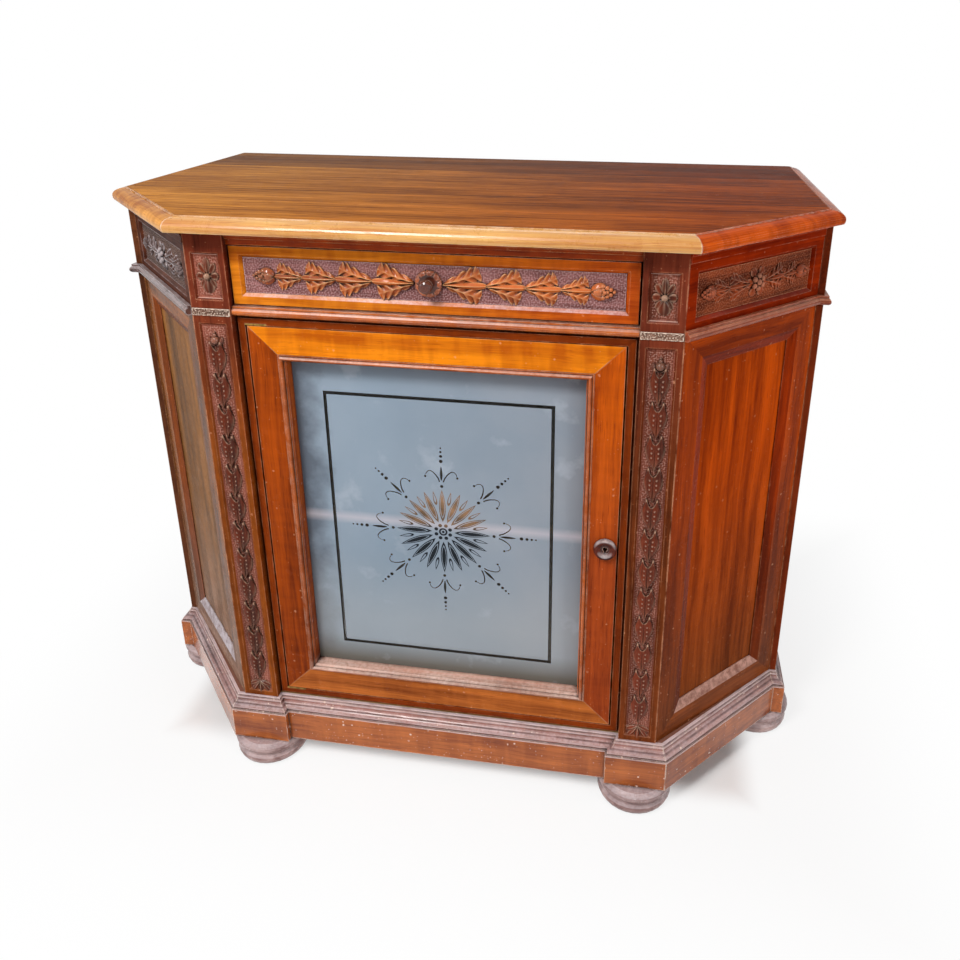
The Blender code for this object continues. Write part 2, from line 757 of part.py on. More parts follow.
def build_surround():
    """Mitred slip frame round the door, housed for the pivots and the bolt."""
    width = SURROUND_WIDTH - SEAT
    profile = [
        (0, -SURROUND_QUIRK_DEPTH),
        (SURROUND_QUIRK_WIDTH, -SURROUND_QUIRK_DEPTH),
        (SURROUND_QUIRK_WIDTH, 0),
        (width, 0),
        (width, -RAIL_DEPTH),
        (0, -RAIL_DEPTH),
    ]
    built = sweep(front_frame(FACE_BACK), profile, doorway_path(SEAT), closed=True)
    slip = solid("door_surround", built, "frame walnut")
    housing = Vector((PIVOT_PLATE_LENGTH / 2, PIVOT_PLATE_WIDTH / 2, PIVOT_PLATE_THICKNESS))
    housing += Vector((SEAT, SEAT, SEAT))
    for level, hand in ((DOOR_LOW - DOOR_END_GAP, "low"), (DOOR_HIGH + DOOR_END_GAP, "high")):
        middle = Vector((PIVOT_X, PIVOT_Y, level))
        combine(slip, cutter("pivot_housing_" + hand, box(middle - housing, middle + housing)))
    inner = DOORWAY_X - SURROUND_WIDTH
    deep = DOOR_X + BOLT_THROW + MORTISE_SPARE
    low = (inner - SEAT, BOLT_Y - BOLT_PLAY, LOCK_Z - BOLT_HEIGHT / 2 - BOLT_PLAY)
    high = (deep, BOLT_Y + BOLT_THICKNESS + BOLT_PLAY, LOCK_Z + BOLT_HEIGHT / 2 + BOLT_PLAY)
    combine(slip, cutter("bolt_mortise", box(low, high)))


# Walls
def framed_profile():
    """Frame member: flat, sloping moulding, lip and panel groove."""
    lip = FRAME_WIDTH + FRAME_SLOPE
    groove = lip - GROOVE_DEPTH
    near = -PANEL_SINK + SEAT
    far = -PANEL_SINK - PANEL_THICKNESS - SEAT
    return [
        (0, 0),
        (FRAME_WIDTH, 0),
        (lip, -FRAME_LIP_DEPTH),
        (lip, near),
        (groove, near),
        (groove, far),
        (lip, far),
        (lip, -WALL),
        (0, -WALL),
    ]


def framed_path(start, end, low, high):
    """Outer rectangle of a framed wall, run so that its right side is the inside."""
    return [(start, low), (start, high), (end, high), (end, low)]


def wall_panel(name, frame, path, material):
    """Flat panel that stands in the groove of its frame."""
    inset = FRAME_WIDTH + FRAME_SLOPE - GROOVE_DEPTH + PANEL_PLAY
    low = (path[0][0] + inset, path[0][1] + inset, -PANEL_SINK - PANEL_THICKNESS)
    high = (path[2][0] - inset, path[2][1] - inset, -PANEL_SINK)
    built = box(low, high)
    bmesh.ops.transform(built, matrix=frame_matrix(frame), verts=built.verts)
    solid(name, built, material)


def build_cant(side, hand):
    """Canted corner: a framed panel under a sunk frieze."""
    frame = cant_frame_of(side)
    path = framed_path(SEAT, CANT_LENGTH - SEAT, BODY_Z + SEAT, WAIST_Z - SEAT)
    solid("cant_frame_" + hand, sweep(frame, framed_profile(), path, closed=True), "frame walnut")
    wall_panel("cant_panel_" + hand, frame, path, "frame walnut")
    low = WAIST_Z
    high = TOP_Z - SEAT
    steps = TOP_Z - FRIEZE_STEPS_HEIGHT
    profile = [
        (0, low),
        (0, steps),
        (FRIEZE_STEP, steps),
        (FRIEZE_STEP, steps + FRIEZE_STEP_HEIGHT),
        (2 * FRIEZE_STEP, steps + FRIEZE_STEP_HEIGHT),
        (2 * FRIEZE_STEP, high),
        (-WALL, high),
        (-WALL, low),
    ]
    start = Vector((CANT_X, 0)) + Vector((1, 1)).normalized() * SEAT
    end = Vector((CANT_X, 0)) + Vector((1, 1)).normalized() * (CANT_LENGTH - SEAT)
    name = "cant_frieze_" + hand
    frieze = solid(name, sweep(plan_frame(side), profile, [start, end]), "frieze walnut")
    field_low = (FRIEZE_FIELD_MARGIN, DRAWER_Z + FRIEZE_FIELD_RISE)
    field_high = (CANT_LENGTH - FRIEZE_FIELD_MARGIN, TOP_Z - FRIEZE_FIELD_DROP)
    sunk_field(frieze, frame, field_low, field_high, FIELD_SINK, name + "_cut")


def build_side(side, hand):
    """Side wall: one framed panel, with a sunk frieze field in its deep top rail."""
    frame = side_frame_of(side)
    name = "side_frame_" + hand
    path = framed_path(CANT_RUN, BODY_BACK, BODY_Z + SEAT, WAIST_Z)
    wall = solid(name, sweep(frame, framed_profile(), path, closed=True), "frame walnut")
    wall_panel("side_panel_" + hand, frame, path, "frame walnut")
    near, far = span(side, WALL_IN, BODY_X)
    upper = box((near, CANT_RUN, WAIST_Z - FRAME_WIDTH / 2), (far, BODY_BACK, TOP_Z - SEAT))
    combine(wall, cutter(name + "_top_rail", upper), "UNION")
    low = (CANT_RUN + FRIEZE_FIELD_MARGIN, DRAWER_Z + FRIEZE_FIELD_RISE)
    high = (BODY_BACK - FRIEZE_FIELD_MARGIN, TOP_Z - FRIEZE_FIELD_DROP)
    sunk_field(wall, frame, low, high, FIELD_SINK, name + "_field_cut")
    meet = Vector((POST_X, CANT_RUN))
    along = Vector((1, 1)).normalized()
    inward = Vector((-1, 1)).normalized()
    corners = [
        meet + along * SEAT - inward * WALL,
        meet + along * SEAT + inward * 2 * WALL,
        meet - along * WALL + inward * 2 * WALL,
        meet - along * WALL - inward * WALL,
    ]
    outline = [(side * point.x, point.y) for point in corners]
    combine(wall, cutter(name + "_cant_cut", prism(outline, 0, TOP_Z + WALL)))


def build_waist_bead(side, hand):
    """Bead planted over the joint between frame and frieze, round cant and side."""
    profile = bead_profile(SEAT, WAIST_Z - BEAD_HEIGHT / 2)
    path = body_outline()
    solid("waist_bead_" + hand, sweep(plan_frame(side), profile, path), "frieze walnut")


def build_back():
    """Back panel between the side walls, from the plinth to the top."""
    x = WALL_IN - SEAT
    high = (x, BACK_Y + BACK_THICKNESS, TOP_Z - SEAT)
    board("back_panel", (-x, BACK_Y, PLINTH_Z), high, "inner pine")


# Base
def moulding_arc(centre, radii, start, end, steps):
    """Part of the plinth moulding, its heights given as shares."""
    rise = PLINTH_MOULD_HEIGHT
    middle = (-centre[0], MOULD_Z + rise * centre[1])
    return arc(middle, (radii[0], rise * radii[1]), start, end, steps)


def plinth_profile(depth):
    """Face board, then fillet, quirk, roll, cove, bead and top fillet, with a ledge behind."""
    rise = PLINTH_MOULD_HEIGHT
    ledge = BODY_Z - BOTTOM_THICKNESS - SEAT
    back = -PLINTH_BLOCK_REACH - PLINTH_TOP_INSET
    fillet = MOULD_Z + rise * LOWER_FILLET_SHARE
    profile = [(0, PLINTH_Z), (0, fillet), (-QUIRK_SET_BACK, fillet)]
    profile += [(-QUIRK_SET_BACK, MOULD_Z + rise * QUIRK_SHARE)]
    profile += moulding_arc(ROLL_CENTRE, ROLL_RADII, -40, 80, 5)
    profile += [(-COVE_START[0], MOULD_Z + rise * COVE_START[1])]
    profile += moulding_arc(COVE_CENTRE, COVE_RADII, 265, 185, 4)
    profile += moulding_arc(BEAD_CENTRE, BEAD_RADII, -20, 80, 3)
    profile += [(-TOP_FILLET_SET_BACK, MOULD_Z + rise * TOP_FILLET_SHARE), (-TOP_FILLET_SET_BACK, BODY_Z)]
    profile += [(back, BODY_Z), (back, ledge), (-depth, ledge), (-depth, PLINTH_Z)]
    return profile


def build_plinth():
    """Moulded plinth in mitred lengths, with solid corner blocks over the feet."""
    whole = mirrored(plinth_outline())
    half = SEAT / 2
    thin = plinth_profile(PLINTH_DEPTH)
    thick = plinth_profile(PLINTH_BLOCK_DEPTH)
    front = sweep(plan_frame(), thin, whole, start=5, count=1, gap=half)
    solid("plinth_front", front, "plinth walnut")
    for side, hand in ((-1, "left"), (1, "right")):
        frame = plan_frame(side)
        block = sweep(frame, thick, whole, start=6, count=2, gap=half)
        solid("plinth_block_" + hand, block, "plinth walnut")
        cant = sweep(frame, thin, whole, start=8, count=1, gap=half)
        solid("plinth_cant_" + hand, cant, "plinth walnut")
        flank = sweep(frame, thin, whole, start=9, count=2, gap=half)
        add_foot_blocks(solid("plinth_side_" + hand, flank, "plinth walnut"), side, hand)


def add_foot_blocks(flank, side, hand):
    """Glue blocks inside the plinth, over the two feet of that side."""
    outline = plinth_outline()
    inner = offset_path(outline[2:4], -PLINTH_DEPTH - SEAT)
    cant_run = (inner[1] - inner[0]).normalized()
    strip_y = outline[4][1] + PLINTH_DEPTH
    side_x = outline[4][0] - PLINTH_DEPTH + EASE
    low_x = side_x - FOOT_BLOCK
    on_strip = inner[0] + cant_run * ((strip_y - inner[0].y) / cant_run.y)
    on_cant = inner[0] + cant_run * ((low_x - inner[0].x) / cant_run.x)
    post_y = CANT_RUN + FOOT_POST_SET_BACK
    rear_y = BODY_BACK - FOOT_REAR_INSET
    front_block = [
        (on_strip.x, strip_y),
        (side_x, strip_y),
        (side_x, post_y + FOOT_BLOCK_LENGTH),
        (low_x, post_y + FOOT_BLOCK_LENGTH),
        (low_x, on_cant.y),
    ]
    rear_block = [
        (low_x, rear_y - FOOT_BLOCK / 2),
        (side_x, rear_y - FOOT_BLOCK / 2),
        (side_x, rear_y + FOOT_BLOCK / 2),
        (low_x, rear_y + FOOT_BLOCK / 2),
    ]
    ledge = BODY_Z - BOTTOM_THICKNESS - SEAT
    for corners, where in ((front_block, "post"), (rear_block, "rear")):
        shape = prism([(side * x, y) for x, y in corners], PLINTH_Z, ledge)
        combine(flank, cutter("glue_block_" + where + "_" + hand, shape), "UNION")


def build_bottom():
    """Bottom board on the ledge of the plinth, inside its mouldings."""
    edge = offset_path(mirrored(plinth_outline()), -PLINTH_BLOCK_REACH - PLINTH_TOP_INSET - SEAT)
    for end in (0, -1):
        edge[end].y = BACK_Y - SEAT
    plate("bottom_board", edge, BODY_Z - BOTTOM_THICKNESS, BODY_Z, "inner pine")


def foot_profile():
    """Flattened bun over a groove and a lower roll."""
    top = FOOT_HEIGHT - SEAT
    bun_half = (top - FOOT_GROOVE_HEIGHT) / 2
    roll_half = (FOOT_GROOVE_HEIGHT - FOOT_GROOVE_WIDTH) / 2
    profile = [(0, top), (FOOT_TOP_RADIUS, top)]
    profile += arc((FOOT_RADIUS - FOOT_BUN_SWELL, top - bun_half), (FOOT_BUN_SWELL, bun_half), 65, -60, 6)
    profile += [(FOOT_GROOVE_RADIUS, FOOT_GROOVE_HEIGHT), (FOOT_GROOVE_RADIUS, 2 * roll_half)]
    profile += arc((FOOT_ROLL_RADIUS - FOOT_ROLL_SWELL, roll_half), (FOOT_ROLL_SWELL, roll_half), 50, -65, 4)
    profile += [(FOOT_BASE_RADIUS, 0), (0, 0)]
    return profile


def foot_places():
    """Centres of the three feet of the right-hand side."""
    block = (PLINTH_BLOCK_START + PLINTH_BLOCK_END) / 2
    return {
        "front": (block, FOOT_FRONT_Y),
        "post": (FOOT_POST_X, CANT_RUN + FOOT_POST_SET_BACK),
        "rear": (FOOT_POST_X, BODY_BACK - FOOT_REAR_INSET),
    }


def build_feet():
    """Six turned feet under the corners of the plinth."""
    for where, (x, y) in foot_places().items():
        for side, hand in ((-1, "left"), (1, "right")):
            turned("foot_" + where + "_" + hand, foot_profile(), "foot walnut", (side * x, y, 0))


# Shelf
def build_shelf():
    """Shelf with canted corners on a bearer at each side."""
    outline = inner_outline(SHELF_SET_BACK, SHELF_PLAY)
    plate("shelf", outline, SHELF_Z, SHELF_Z + SHELF_THICKNESS, "inner pine")
    for side, hand in ((-1, "left"), (1, "right")):
        near, far = span(side, WALL_IN - SEAT - BEARER_SIZE, WALL_IN - SEAT)
        low = (near, CANT_RUN + WALL + BEARER_END, SHELF_Z - SEAT - BEARER_SIZE)
        high = (far, BACK_Y - SEAT, SHELF_Z - SEAT)
        board("shelf_bearer_" + hand, low, high, "inner pine")


# Drawer
def build_runners():
    """Runner and guide for each drawer side, between the divider and the back."""
    for side, hand in ((-1, "left"), (1, "right")):
        outer = DRAWER_SIDE_X + DRAWER_GUIDE_GAP + GUIDE_WIDTH
        near, far = span(side, outer - RUNNER_WIDTH, outer)
        start = FACE_BACK + DIVIDER_DEPTH + SEAT
        end = BACK_Y - SEAT
        bearing = box((near, start, HEAD_Z), (far, end, DRAWER_Z))
        runner = solid("drawer_runner_" + hand, bearing, "inner pine")
        near, far = span(side, DRAWER_SIDE_X + DRAWER_GUIDE_GAP, outer)
        guide = box((near, start, DRAWER_Z - DIVIDER_HEIGHT / 2), (far, end, DRAWER_Z + GUIDE_HEIGHT))
        combine(runner, cutter("guide_" + hand, guide), "UNION")


def build_drawer_front():
    """Drawer front with a sunk field, grooved for the bottom, bored for the knob."""
    low = (-DRAWER_X, DRAWER_FACE_BACK, DRAWER_LOW)
    high = (DRAWER_X, DRAWER_BOX_Y, DRAWER_HIGH)
    front = board("drawer_front", low, high, "drawer walnut", DRAWER)
    corner = (DRAWER_X - DRAWER_FIELD_SIDE, DRAWER_HIGH - DRAWER_FIELD_EDGE)
    field_low = (-corner[0], DRAWER_LOW + DRAWER_FIELD_EDGE)
    sunk_field(front, front_frame(DRAWER_FACE_BACK), field_low, corner, FIELD_SINK, "drawer_field_cut")
    length = 3 * DRAWER_FRONT_THICKNESS
    shank = rod((0, DRAWER_BOX_Y, DRAWER_MIDDLE), KNOB_SHANK_RADIUS + SEAT, length, (0, 1, 0))
    combine(front, cutter("knob_bore", shank))
    combine(front, cutter("front_groove", bottom_groove()))
    tip = DRAWER_BOX_Y - DOVETAIL_LAP - SEAT
    cut_sockets(front, front_tails(), DRAWER_BOX_Y, tip, DRAWER_X + WALL, "front_socket")


def tail_spans(low, high):
    """Lowest and highest Z of evenly spaced tails, at their shoulders."""
    pitch = (high - low) / DOVETAIL_COUNT
    half = pitch * DOVETAIL_SHARE / 2
    middles = [low + pitch * (number + 0.5) for number in range(DOVETAIL_COUNT)]
    return [(middle - half, middle + half) for middle in middles]


def front_tails():
    """Tails of the drawer sides that lap into the drawer front."""
    return tail_spans(DRAWER_SIDE_LOW, DRAWER_SIDE_HIGH)


def back_tails():
    """Tails of the drawer sides that show at the drawer's back."""
    return tail_spans(DRAWER_FLOOR, DRAWER_BACK_HIGH)


def tail_outline(heights, shoulder, tip, gap=0.0):
    """One tail from the side, spread towards its tip, from its low shoulder round to its high one."""
    low, high = heights
    wide = DOVETAIL_FLARE + gap
    return [(shoulder, low - gap), (tip, low - wide), (tip, high + wide), (shoulder, high + gap)]


def cut_sockets(piece, tails, shoulder, tip, end, name):
    """Cut the sockets for the tails of both drawer sides, open at the ends."""
    inner = DRAWER_SIDE_X - DRAWER_SIDE_THICKNESS - SEAT
    for side, hand in ((-1, "left"), (1, "right")):
        for number, heights in enumerate(tails):
            outline = tail_outline(heights, shoulder, tip, SEAT)
            built = cheek(outline, *span(side, inner, end))
            combine(piece, cutter(f"{name}_{hand}_{number}", built))


def bottom_groove():
    """Groove for the drawer bottom, cut into the front and both sides."""
    x = DRAWER_SIDE_X - DRAWER_SIDE_THICKNESS + DRAWER_GROOVE
    low = DRAWER_BOTTOM_Z - SEAT
    high = DRAWER_BOTTOM_Z + DRAWER_BOTTOM_THICKNESS + SEAT
    return box((-x, DRAWER_BOX_Y - DRAWER_GROOVE, low), (x, DRAWER_END + WALL, high))


def build_drawer_box():
    """Sides, back and bottom of the drawer."""
    for side, hand in ((-1, "left"), (1, "right")):
        near, far = span(side, DRAWER_SIDE_X - DRAWER_SIDE_THICKNESS, DRAWER_SIDE_X)
        flank = solid("drawer_side_" + hand, cheek(drawer_side_outline(), near, far), "inner pine", DRAWER)
        combine(flank, cutter("side_groove_" + hand, bottom_groove()))
    low = (-DRAWER_SIDE_X, DRAWER_END - DRAWER_SIDE_THICKNESS, DRAWER_FLOOR + SEAT)
    high = (DRAWER_SIDE_X, DRAWER_END, DRAWER_BACK_HIGH)
    back = board("drawer_back", low, high, "inner pine", DRAWER)
    cut_sockets(back, back_tails(), low[1], DRAWER_END, DRAWER_SIDE_X + WALL, "back_socket")
    reach = DRAWER_SIDE_X - DRAWER_SIDE_THICKNESS + DRAWER_GROOVE - PANEL_PLAY
    low = (-reach, DRAWER_BOX_Y - DRAWER_GROOVE + PANEL_PLAY, DRAWER_BOTTOM_Z)
    high = (reach, DRAWER_END, DRAWER_FLOOR)
    solid("drawer_bottom", box(low, high), "inner pine", DRAWER)


def drawer_side_outline():
    """Drawer side with lapped tails in front and through tails behind."""
    rear = DRAWER_END - DRAWER_SIDE_THICKNESS - SEAT
    outline = [(DRAWER_END, DRAWER_SIDE_LOW), (DRAWER_END, DRAWER_FLOOR), (rear, DRAWER_FLOOR)]
    for heights in back_tails():
        outline += tail_outline(heights, rear, DRAWER_END)
    top = DRAWER_BACK_HIGH + SEAT
    outline += [(rear, top), (DRAWER_END, top), (DRAWER_END, DRAWER_SIDE_HIGH)]
    shoulder = DRAWER_BOX_Y + SEAT
    outline.append((shoulder, DRAWER_SIDE_HIGH))
    for heights in reversed(front_tails()):
        outline += reversed(tail_outline(heights, shoulder, DRAWER_BOX_Y - DOVETAIL_LAP))
    outline.append((shoulder, DRAWER_SIDE_LOW))
    return outline


def build_knob():
    """Turned knob on a round plate, with a shank through the drawer front."""
    seat = FIELD_SINK + DRAWER_FACE_BACK
    plate_top = KNOB_PLATE_THICKNESS
    neck_top = plate_top + KNOB_NECK_LENGTH
    ball = neck_top + KNOB_LENGTH / 2
    profile = [(0, ball + KNOB_LENGTH / 2)]
    profile += arc((0, ball), (KNOB_RADIUS, KNOB_LENGTH / 2), 75, -55, 7)
    profile += [(KNOB_NECK_RADIUS, neck_top), (KNOB_NECK_RADIUS, plate_top + EASE)]
    shoulder = (KNOB_PLATE_RADIUS - KNOB_PLATE_ROUND, plate_top - KNOB_PLATE_ROUND)
    profile += arc(shoulder, (KNOB_PLATE_ROUND, KNOB_PLATE_ROUND), 90, 0, 3)
    profile += [(KNOB_PLATE_RADIUS, 0), (KNOB_SHANK_RADIUS, 0)]
    profile += [(KNOB_SHANK_RADIUS, seat - DRAWER_BOX_Y), (0, seat - DRAWER_BOX_Y)]
    turned("drawer_knob", profile, "dark turning", (0, seat - SEAT, DRAWER_MIDDLE), DRAWER, forward=True)


# Door
def door_path(inset):
    """Rectangle round the door leaf, run so that its right side is the inside."""
    x = DOOR_X - inset
    low = DOOR_LOW + inset
    high = DOOR_HIGH - inset
    return [(-x, low), (-x, high), (x, high), (x, low)]


def build_door_frame():
    """Mitred stiles and rails with a rebate lip behind the glass."""
    lip = -GLASS_SET_BACK - GLASS_THICKNESS - SEAT
    profile = [
        (0, 0),
        (DOOR_MEMBER, 0),
        (DOOR_MEMBER, lip),
        (DOOR_MEMBER + SIGHT_LAP, lip),
        (DOOR_MEMBER + SIGHT_LAP, -DOOR_THICKNESS),
        (0, -DOOR_THICKNESS),
    ]
    members = {}
    names = ("door_stile_left", "door_rail_top", "door_stile_right", "door_rail_bottom")
    for start, name in enumerate(names):
        face = front_frame(DOOR_FACE)
        built = sweep(face, profile, door_path(0), closed=True, start=start, count=1, gap=SEAT / 2)
        members[name] = solid(name, built, "frame walnut", DOOR)
    for level, hand in ((DOOR_LOW, "bottom"), (DOOR_HIGH, "top")):
        length = 2 * (PIVOT_LENGTH + PIVOT_END_GAP)
        bore = rod((PIVOT_X, PIVOT_Y, level), PIVOT_RADIUS + PIVOT_PLAY, length, (0, 0, 1))
        bore = cutter("pivot_bore_" + hand, bore)
        for name in ("door_stile_left", "door_rail_" + hand):
            combine(members[name], bore)
    cut_lock(members["door_stile_right"])


def cut_lock(stile):
    """Pocket for the lock case and the keyhole through the face of the stile."""
    back = DOOR_FACE + DOOR_THICKNESS
    half = CASE_HEIGHT / 2 + SEAT
    low = (DOOR_X - CASE_WIDTH - SEAT, back - CASE_DEPTH - SEAT, LOCK_Z - half)
    combine(stile, cutter("case_pocket", box(low, (DOOR_X + WALL, back + WALL, LOCK_Z + half))))
    combine(stile, cutter("stile_keyhole", keyhole(DOOR_FACE - WALL, back)))


def keyhole(front, back):
    """Round hole with a slot under it, as one closed outline."""
    angle = math.degrees(math.asin(KEYHOLE_SLOT_WIDTH / 2 / KEYHOLE_RADIUS))
    ring = arc((LOCK_X, LOCK_Z), (KEYHOLE_RADIUS, KEYHOLE_RADIUS), -90 + angle, 270 - angle, 20)
    half = KEYHOLE_SLOT_WIDTH / 2
    end = LOCK_Z - KEYHOLE_SLOT_DROP
    built = prism(ring + [(LOCK_X - half, end), (LOCK_X + half, end)], -back, -front)
    turn = Matrix.Rotation(math.radians(90), 4, "X")
    bmesh.ops.transform(built, matrix=turn, verts=built.verts)
    return built


def build_door_moulding():
    """Mitred glazing moulding: fillet, quirk, broad bead, quirk and small reeds."""
    glass = -GLASS_SET_BACK + SEAT
    width = SIGHT_LAP - SEAT
    scale = Vector((width, MOULD_PROUD))
    bead = arc(Vector(MOULD_BEAD_CENTRE) * scale, Vector(MOULD_BEAD_RADII) * scale, 190, -10, 7)
    profile = [(0, glass)]
    profile += [Vector(point) * scale for point in MOULD_BEFORE]
    profile += bead
    profile += [Vector(point) * scale for point in MOULD_AFTER]
    profile += [(width, glass)]
    built = sweep(front_frame(DOOR_FACE), profile, door_path(DOOR_MEMBER + SEAT), closed=True)
    solid("door_moulding", built, "frame walnut", DOOR)


def build_glass():
    """Pane between the moulding and the rebate lip."""
    x = DOOR_X - DOOR_MEMBER - SIGHT_LAP + GLASS_LAP
    low = (-x, GLASS_Y, DOOR_LOW + DOOR_X - x)
    high = (x, GLASS_Y + GLASS_THICKNESS, DOOR_HIGH - DOOR_X + x)
    solid("door_glass", box(low, high), "frosted glass", DOOR)


def build_pivots():
    """Brass centre pivots let into the surround, one under and one over the hinge stile."""
    plate_half = Vector((PIVOT_PLATE_LENGTH, PIVOT_PLATE_WIDTH, PIVOT_PLATE_THICKNESS)) / 2
    for level, sign, hand in ((DOOR_LOW - DOOR_END_GAP, 1, "bottom"), (DOOR_HIGH + DOOR_END_GAP, -1, "top")):
        middle = Vector((PIVOT_X, PIVOT_Y, level - sign * plate_half.z))
        leaf = solid("door_pivot_" + hand, box(middle - plate_half, middle + plate_half), "brass")
        collar_end = level + sign * (DOOR_END_GAP - SEAT)
        pin_end = level + sign * (DOOR_END_GAP + PIVOT_LENGTH)
        turns = ((PIVOT_COLLAR_RADIUS, collar_end, "collar"), (PIVOT_RADIUS, pin_end, "pin"))
        for radius, end, what in turns:
            centre = (PIVOT_X, PIVOT_Y, (middle.z + end) / 2)
            post = rod(centre, radius, abs(end - middle.z), (0, 0, 1))
            combine(leaf, cutter("pivot_" + what + "_" + hand, post), "UNION")


# Lock
def build_lock():
    """Escutcheon on the face, case let into the back, sliding bolt."""
    scale = Vector((ESCUTCHEON_RADIUS, ESCUTCHEON_THICKNESS))
    dish = Vector(ESCUTCHEON_DISH) * scale
    profile = [(0, dish.y), dish]
    profile += arc(Vector(ESCUTCHEON_RING) * scale, Vector(ESCUTCHEON_RING_RADII) * scale, 150, 10, 6)
    profile += [(scale.x, ESCUTCHEON_RIM * scale.y), (scale.x, 0), (0, 0)]
    place = (LOCK_X, DOOR_FACE - SEAT, LOCK_Z)
    ring = turned("escutcheon", profile, "dark turning", place, DOOR, forward=True)
    combine(ring, cutter("escutcheon_keyhole", keyhole(DOOR_FACE - WALL, DOOR_FACE + WALL)))
    back = DOOR_FACE + DOOR_THICKNESS
    low = (DOOR_X - CASE_WIDTH, back - CASE_DEPTH, LOCK_Z - CASE_HEIGHT / 2)
    case = solid("lock_case", box(low, (DOOR_X, back, LOCK_Z + CASE_HEIGHT / 2)), "iron", DOOR)
    pocket = keyhole(DOOR_FACE, back - CASE_DEPTH + CASE_KEY_POCKET)
    combine(case, cutter("case_keyhole", pocket))
    play = BOLT_HEIGHT / 2 + BOLT_PLAY
    channel_low = (DOOR_X - BOLT_LENGTH - SEAT, BOLT_Y - BOLT_PLAY, LOCK_Z - play)
    channel_high = (DOOR_X + WALL, BOLT_Y + BOLT_THICKNESS + BOLT_PLAY, LOCK_Z + play)
    combine(case, cutter("bolt_channel", box(channel_low, channel_high)))
    low = (DOOR_X - BOLT_LENGTH, BOLT_Y, LOCK_Z - BOLT_HEIGHT / 2)
    high = (DOOR_X - SEAT, BOLT_Y + BOLT_THICKNESS, LOCK_Z + BOLT_HEIGHT / 2)
    board("lock_bolt", low, high, "brass", BOLT)


build_top()
build_frieze_rail()
build_divider()
build_surround()
for hand_sign, hand_name in ((-1, "left"), (1, "right")):
    build_pilaster(hand_sign, hand_name)
    build_cant(hand_sign, hand_name)
    build_side(hand_sign, hand_name)
    build_waist_bead(hand_sign, hand_name)
build_back()
build_plinth()
build_bottom()
build_feet()
build_shelf()
build_runners()
build_drawer_front()
build_drawer_box()
build_knob()
build_door_frame()
build_door_moulding()
build_glass()
build_pivots()
build_lock()
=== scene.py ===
# Side cabinet with canted corners: the finish of every board, the carving and the etched glass.
import math

import bpy
import numpy as np
from mathutils import Matrix, Vector


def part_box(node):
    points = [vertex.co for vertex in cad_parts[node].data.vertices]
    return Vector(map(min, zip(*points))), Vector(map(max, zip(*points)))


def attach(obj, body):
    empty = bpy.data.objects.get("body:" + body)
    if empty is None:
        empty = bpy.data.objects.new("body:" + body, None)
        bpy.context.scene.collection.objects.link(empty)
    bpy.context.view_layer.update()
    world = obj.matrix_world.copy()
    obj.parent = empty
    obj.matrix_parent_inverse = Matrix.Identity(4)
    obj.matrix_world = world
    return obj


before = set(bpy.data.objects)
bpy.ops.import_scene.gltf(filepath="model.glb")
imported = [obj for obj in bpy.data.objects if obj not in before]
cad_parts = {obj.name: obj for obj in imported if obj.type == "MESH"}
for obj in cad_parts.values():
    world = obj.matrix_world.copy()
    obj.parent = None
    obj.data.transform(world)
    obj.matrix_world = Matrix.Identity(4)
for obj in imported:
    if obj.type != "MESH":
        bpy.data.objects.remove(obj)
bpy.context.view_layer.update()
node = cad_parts
bpy.ops.object.select_all(action="DESELECT")


# View and light
# The camera stands a little to the right of the middle and looks down on the top.
# The room is a pale studio: a broad lamp over the front, weaker ones at the sides and behind.
scene = bpy.context.scene
camera = bpy.data.objects.new("camera", bpy.data.cameras.new("camera"))
scene.collection.objects.link(camera)
camera.location = (0.3121, -1.4074, 1.2464)
camera.rotation_euler = [math.radians(angle) for angle in (69.8455, -0.1673, 8.8327)]
camera.data.lens = 31.42
camera.data.sensor_width = 36
camera.data.shift_x = -0.0458
camera.data.shift_y = -0.1449
camera.data.clip_start = 0.05
scene.camera = camera
scene.view_settings.view_transform = "Standard"


def lamp(name, place, target, size, watts, colour):
    """A soft box that faces a point on the cabinet."""
    light = bpy.data.lights.new(name, "AREA")
    light.shape = "RECTANGLE"
    light.size, light.size_y = size
    light.energy = watts
    light.color = colour
    holder = bpy.data.objects.new(name, light)
    holder.location = place
    holder.rotation_euler = (Vector(place) - Vector(target)).to_track_quat("Z", "Y").to_euler()
    scene.collection.objects.link(holder)


lamp("key_lamp", (-0.8, -1.8, 2.7), (0, 0, 0.55), (0.8, 0.7), 62, (1.0, 0.985, 0.96))
lamp("right_lamp", (2.4, -1.7, 1.5), (0.4, 0, 0.5), (0.9, 1.2), 20, (1.0, 0.98, 0.95))
lamp("left_lamp", (-2.4, -1.5, 1.3), (-0.4, 0, 0.5), (0.9, 1.2), 8, (0.90, 0.96, 1.0))
lamp("rear_lamp", (-0.3, 2.6, 2.6), (0, 0, 0.9), (1.2, 0.8), 10, (0.95, 0.98, 1.0))


def feed(tree, socket, value):
    """Link a socket to its source, or set it to a plain value."""
    if isinstance(value, bpy.types.NodeSocket):
        tree.links.new(value, socket)
    else:
        socket.default_value = value


def add(tree, kind, **settings):
    """A shader node, with its properties and its inputs given by name."""
    made = tree.nodes.new("ShaderNode" + kind)
    for label, value in settings.items():
        if hasattr(made, label):
            setattr(made, label, value)
        else:
            feed(tree, made.inputs[label.replace("_", " ")], value)
    return made


def figure(tree, operation, first, second=None, clamp=False):
    """The result of a Math node."""
    made = add(tree, "Math", operation=operation, use_clamp=clamp)
    for number, value in enumerate((first, second)):
        if value is not None:
            feed(tree, made.inputs[number], value)
    return made.outputs[0]


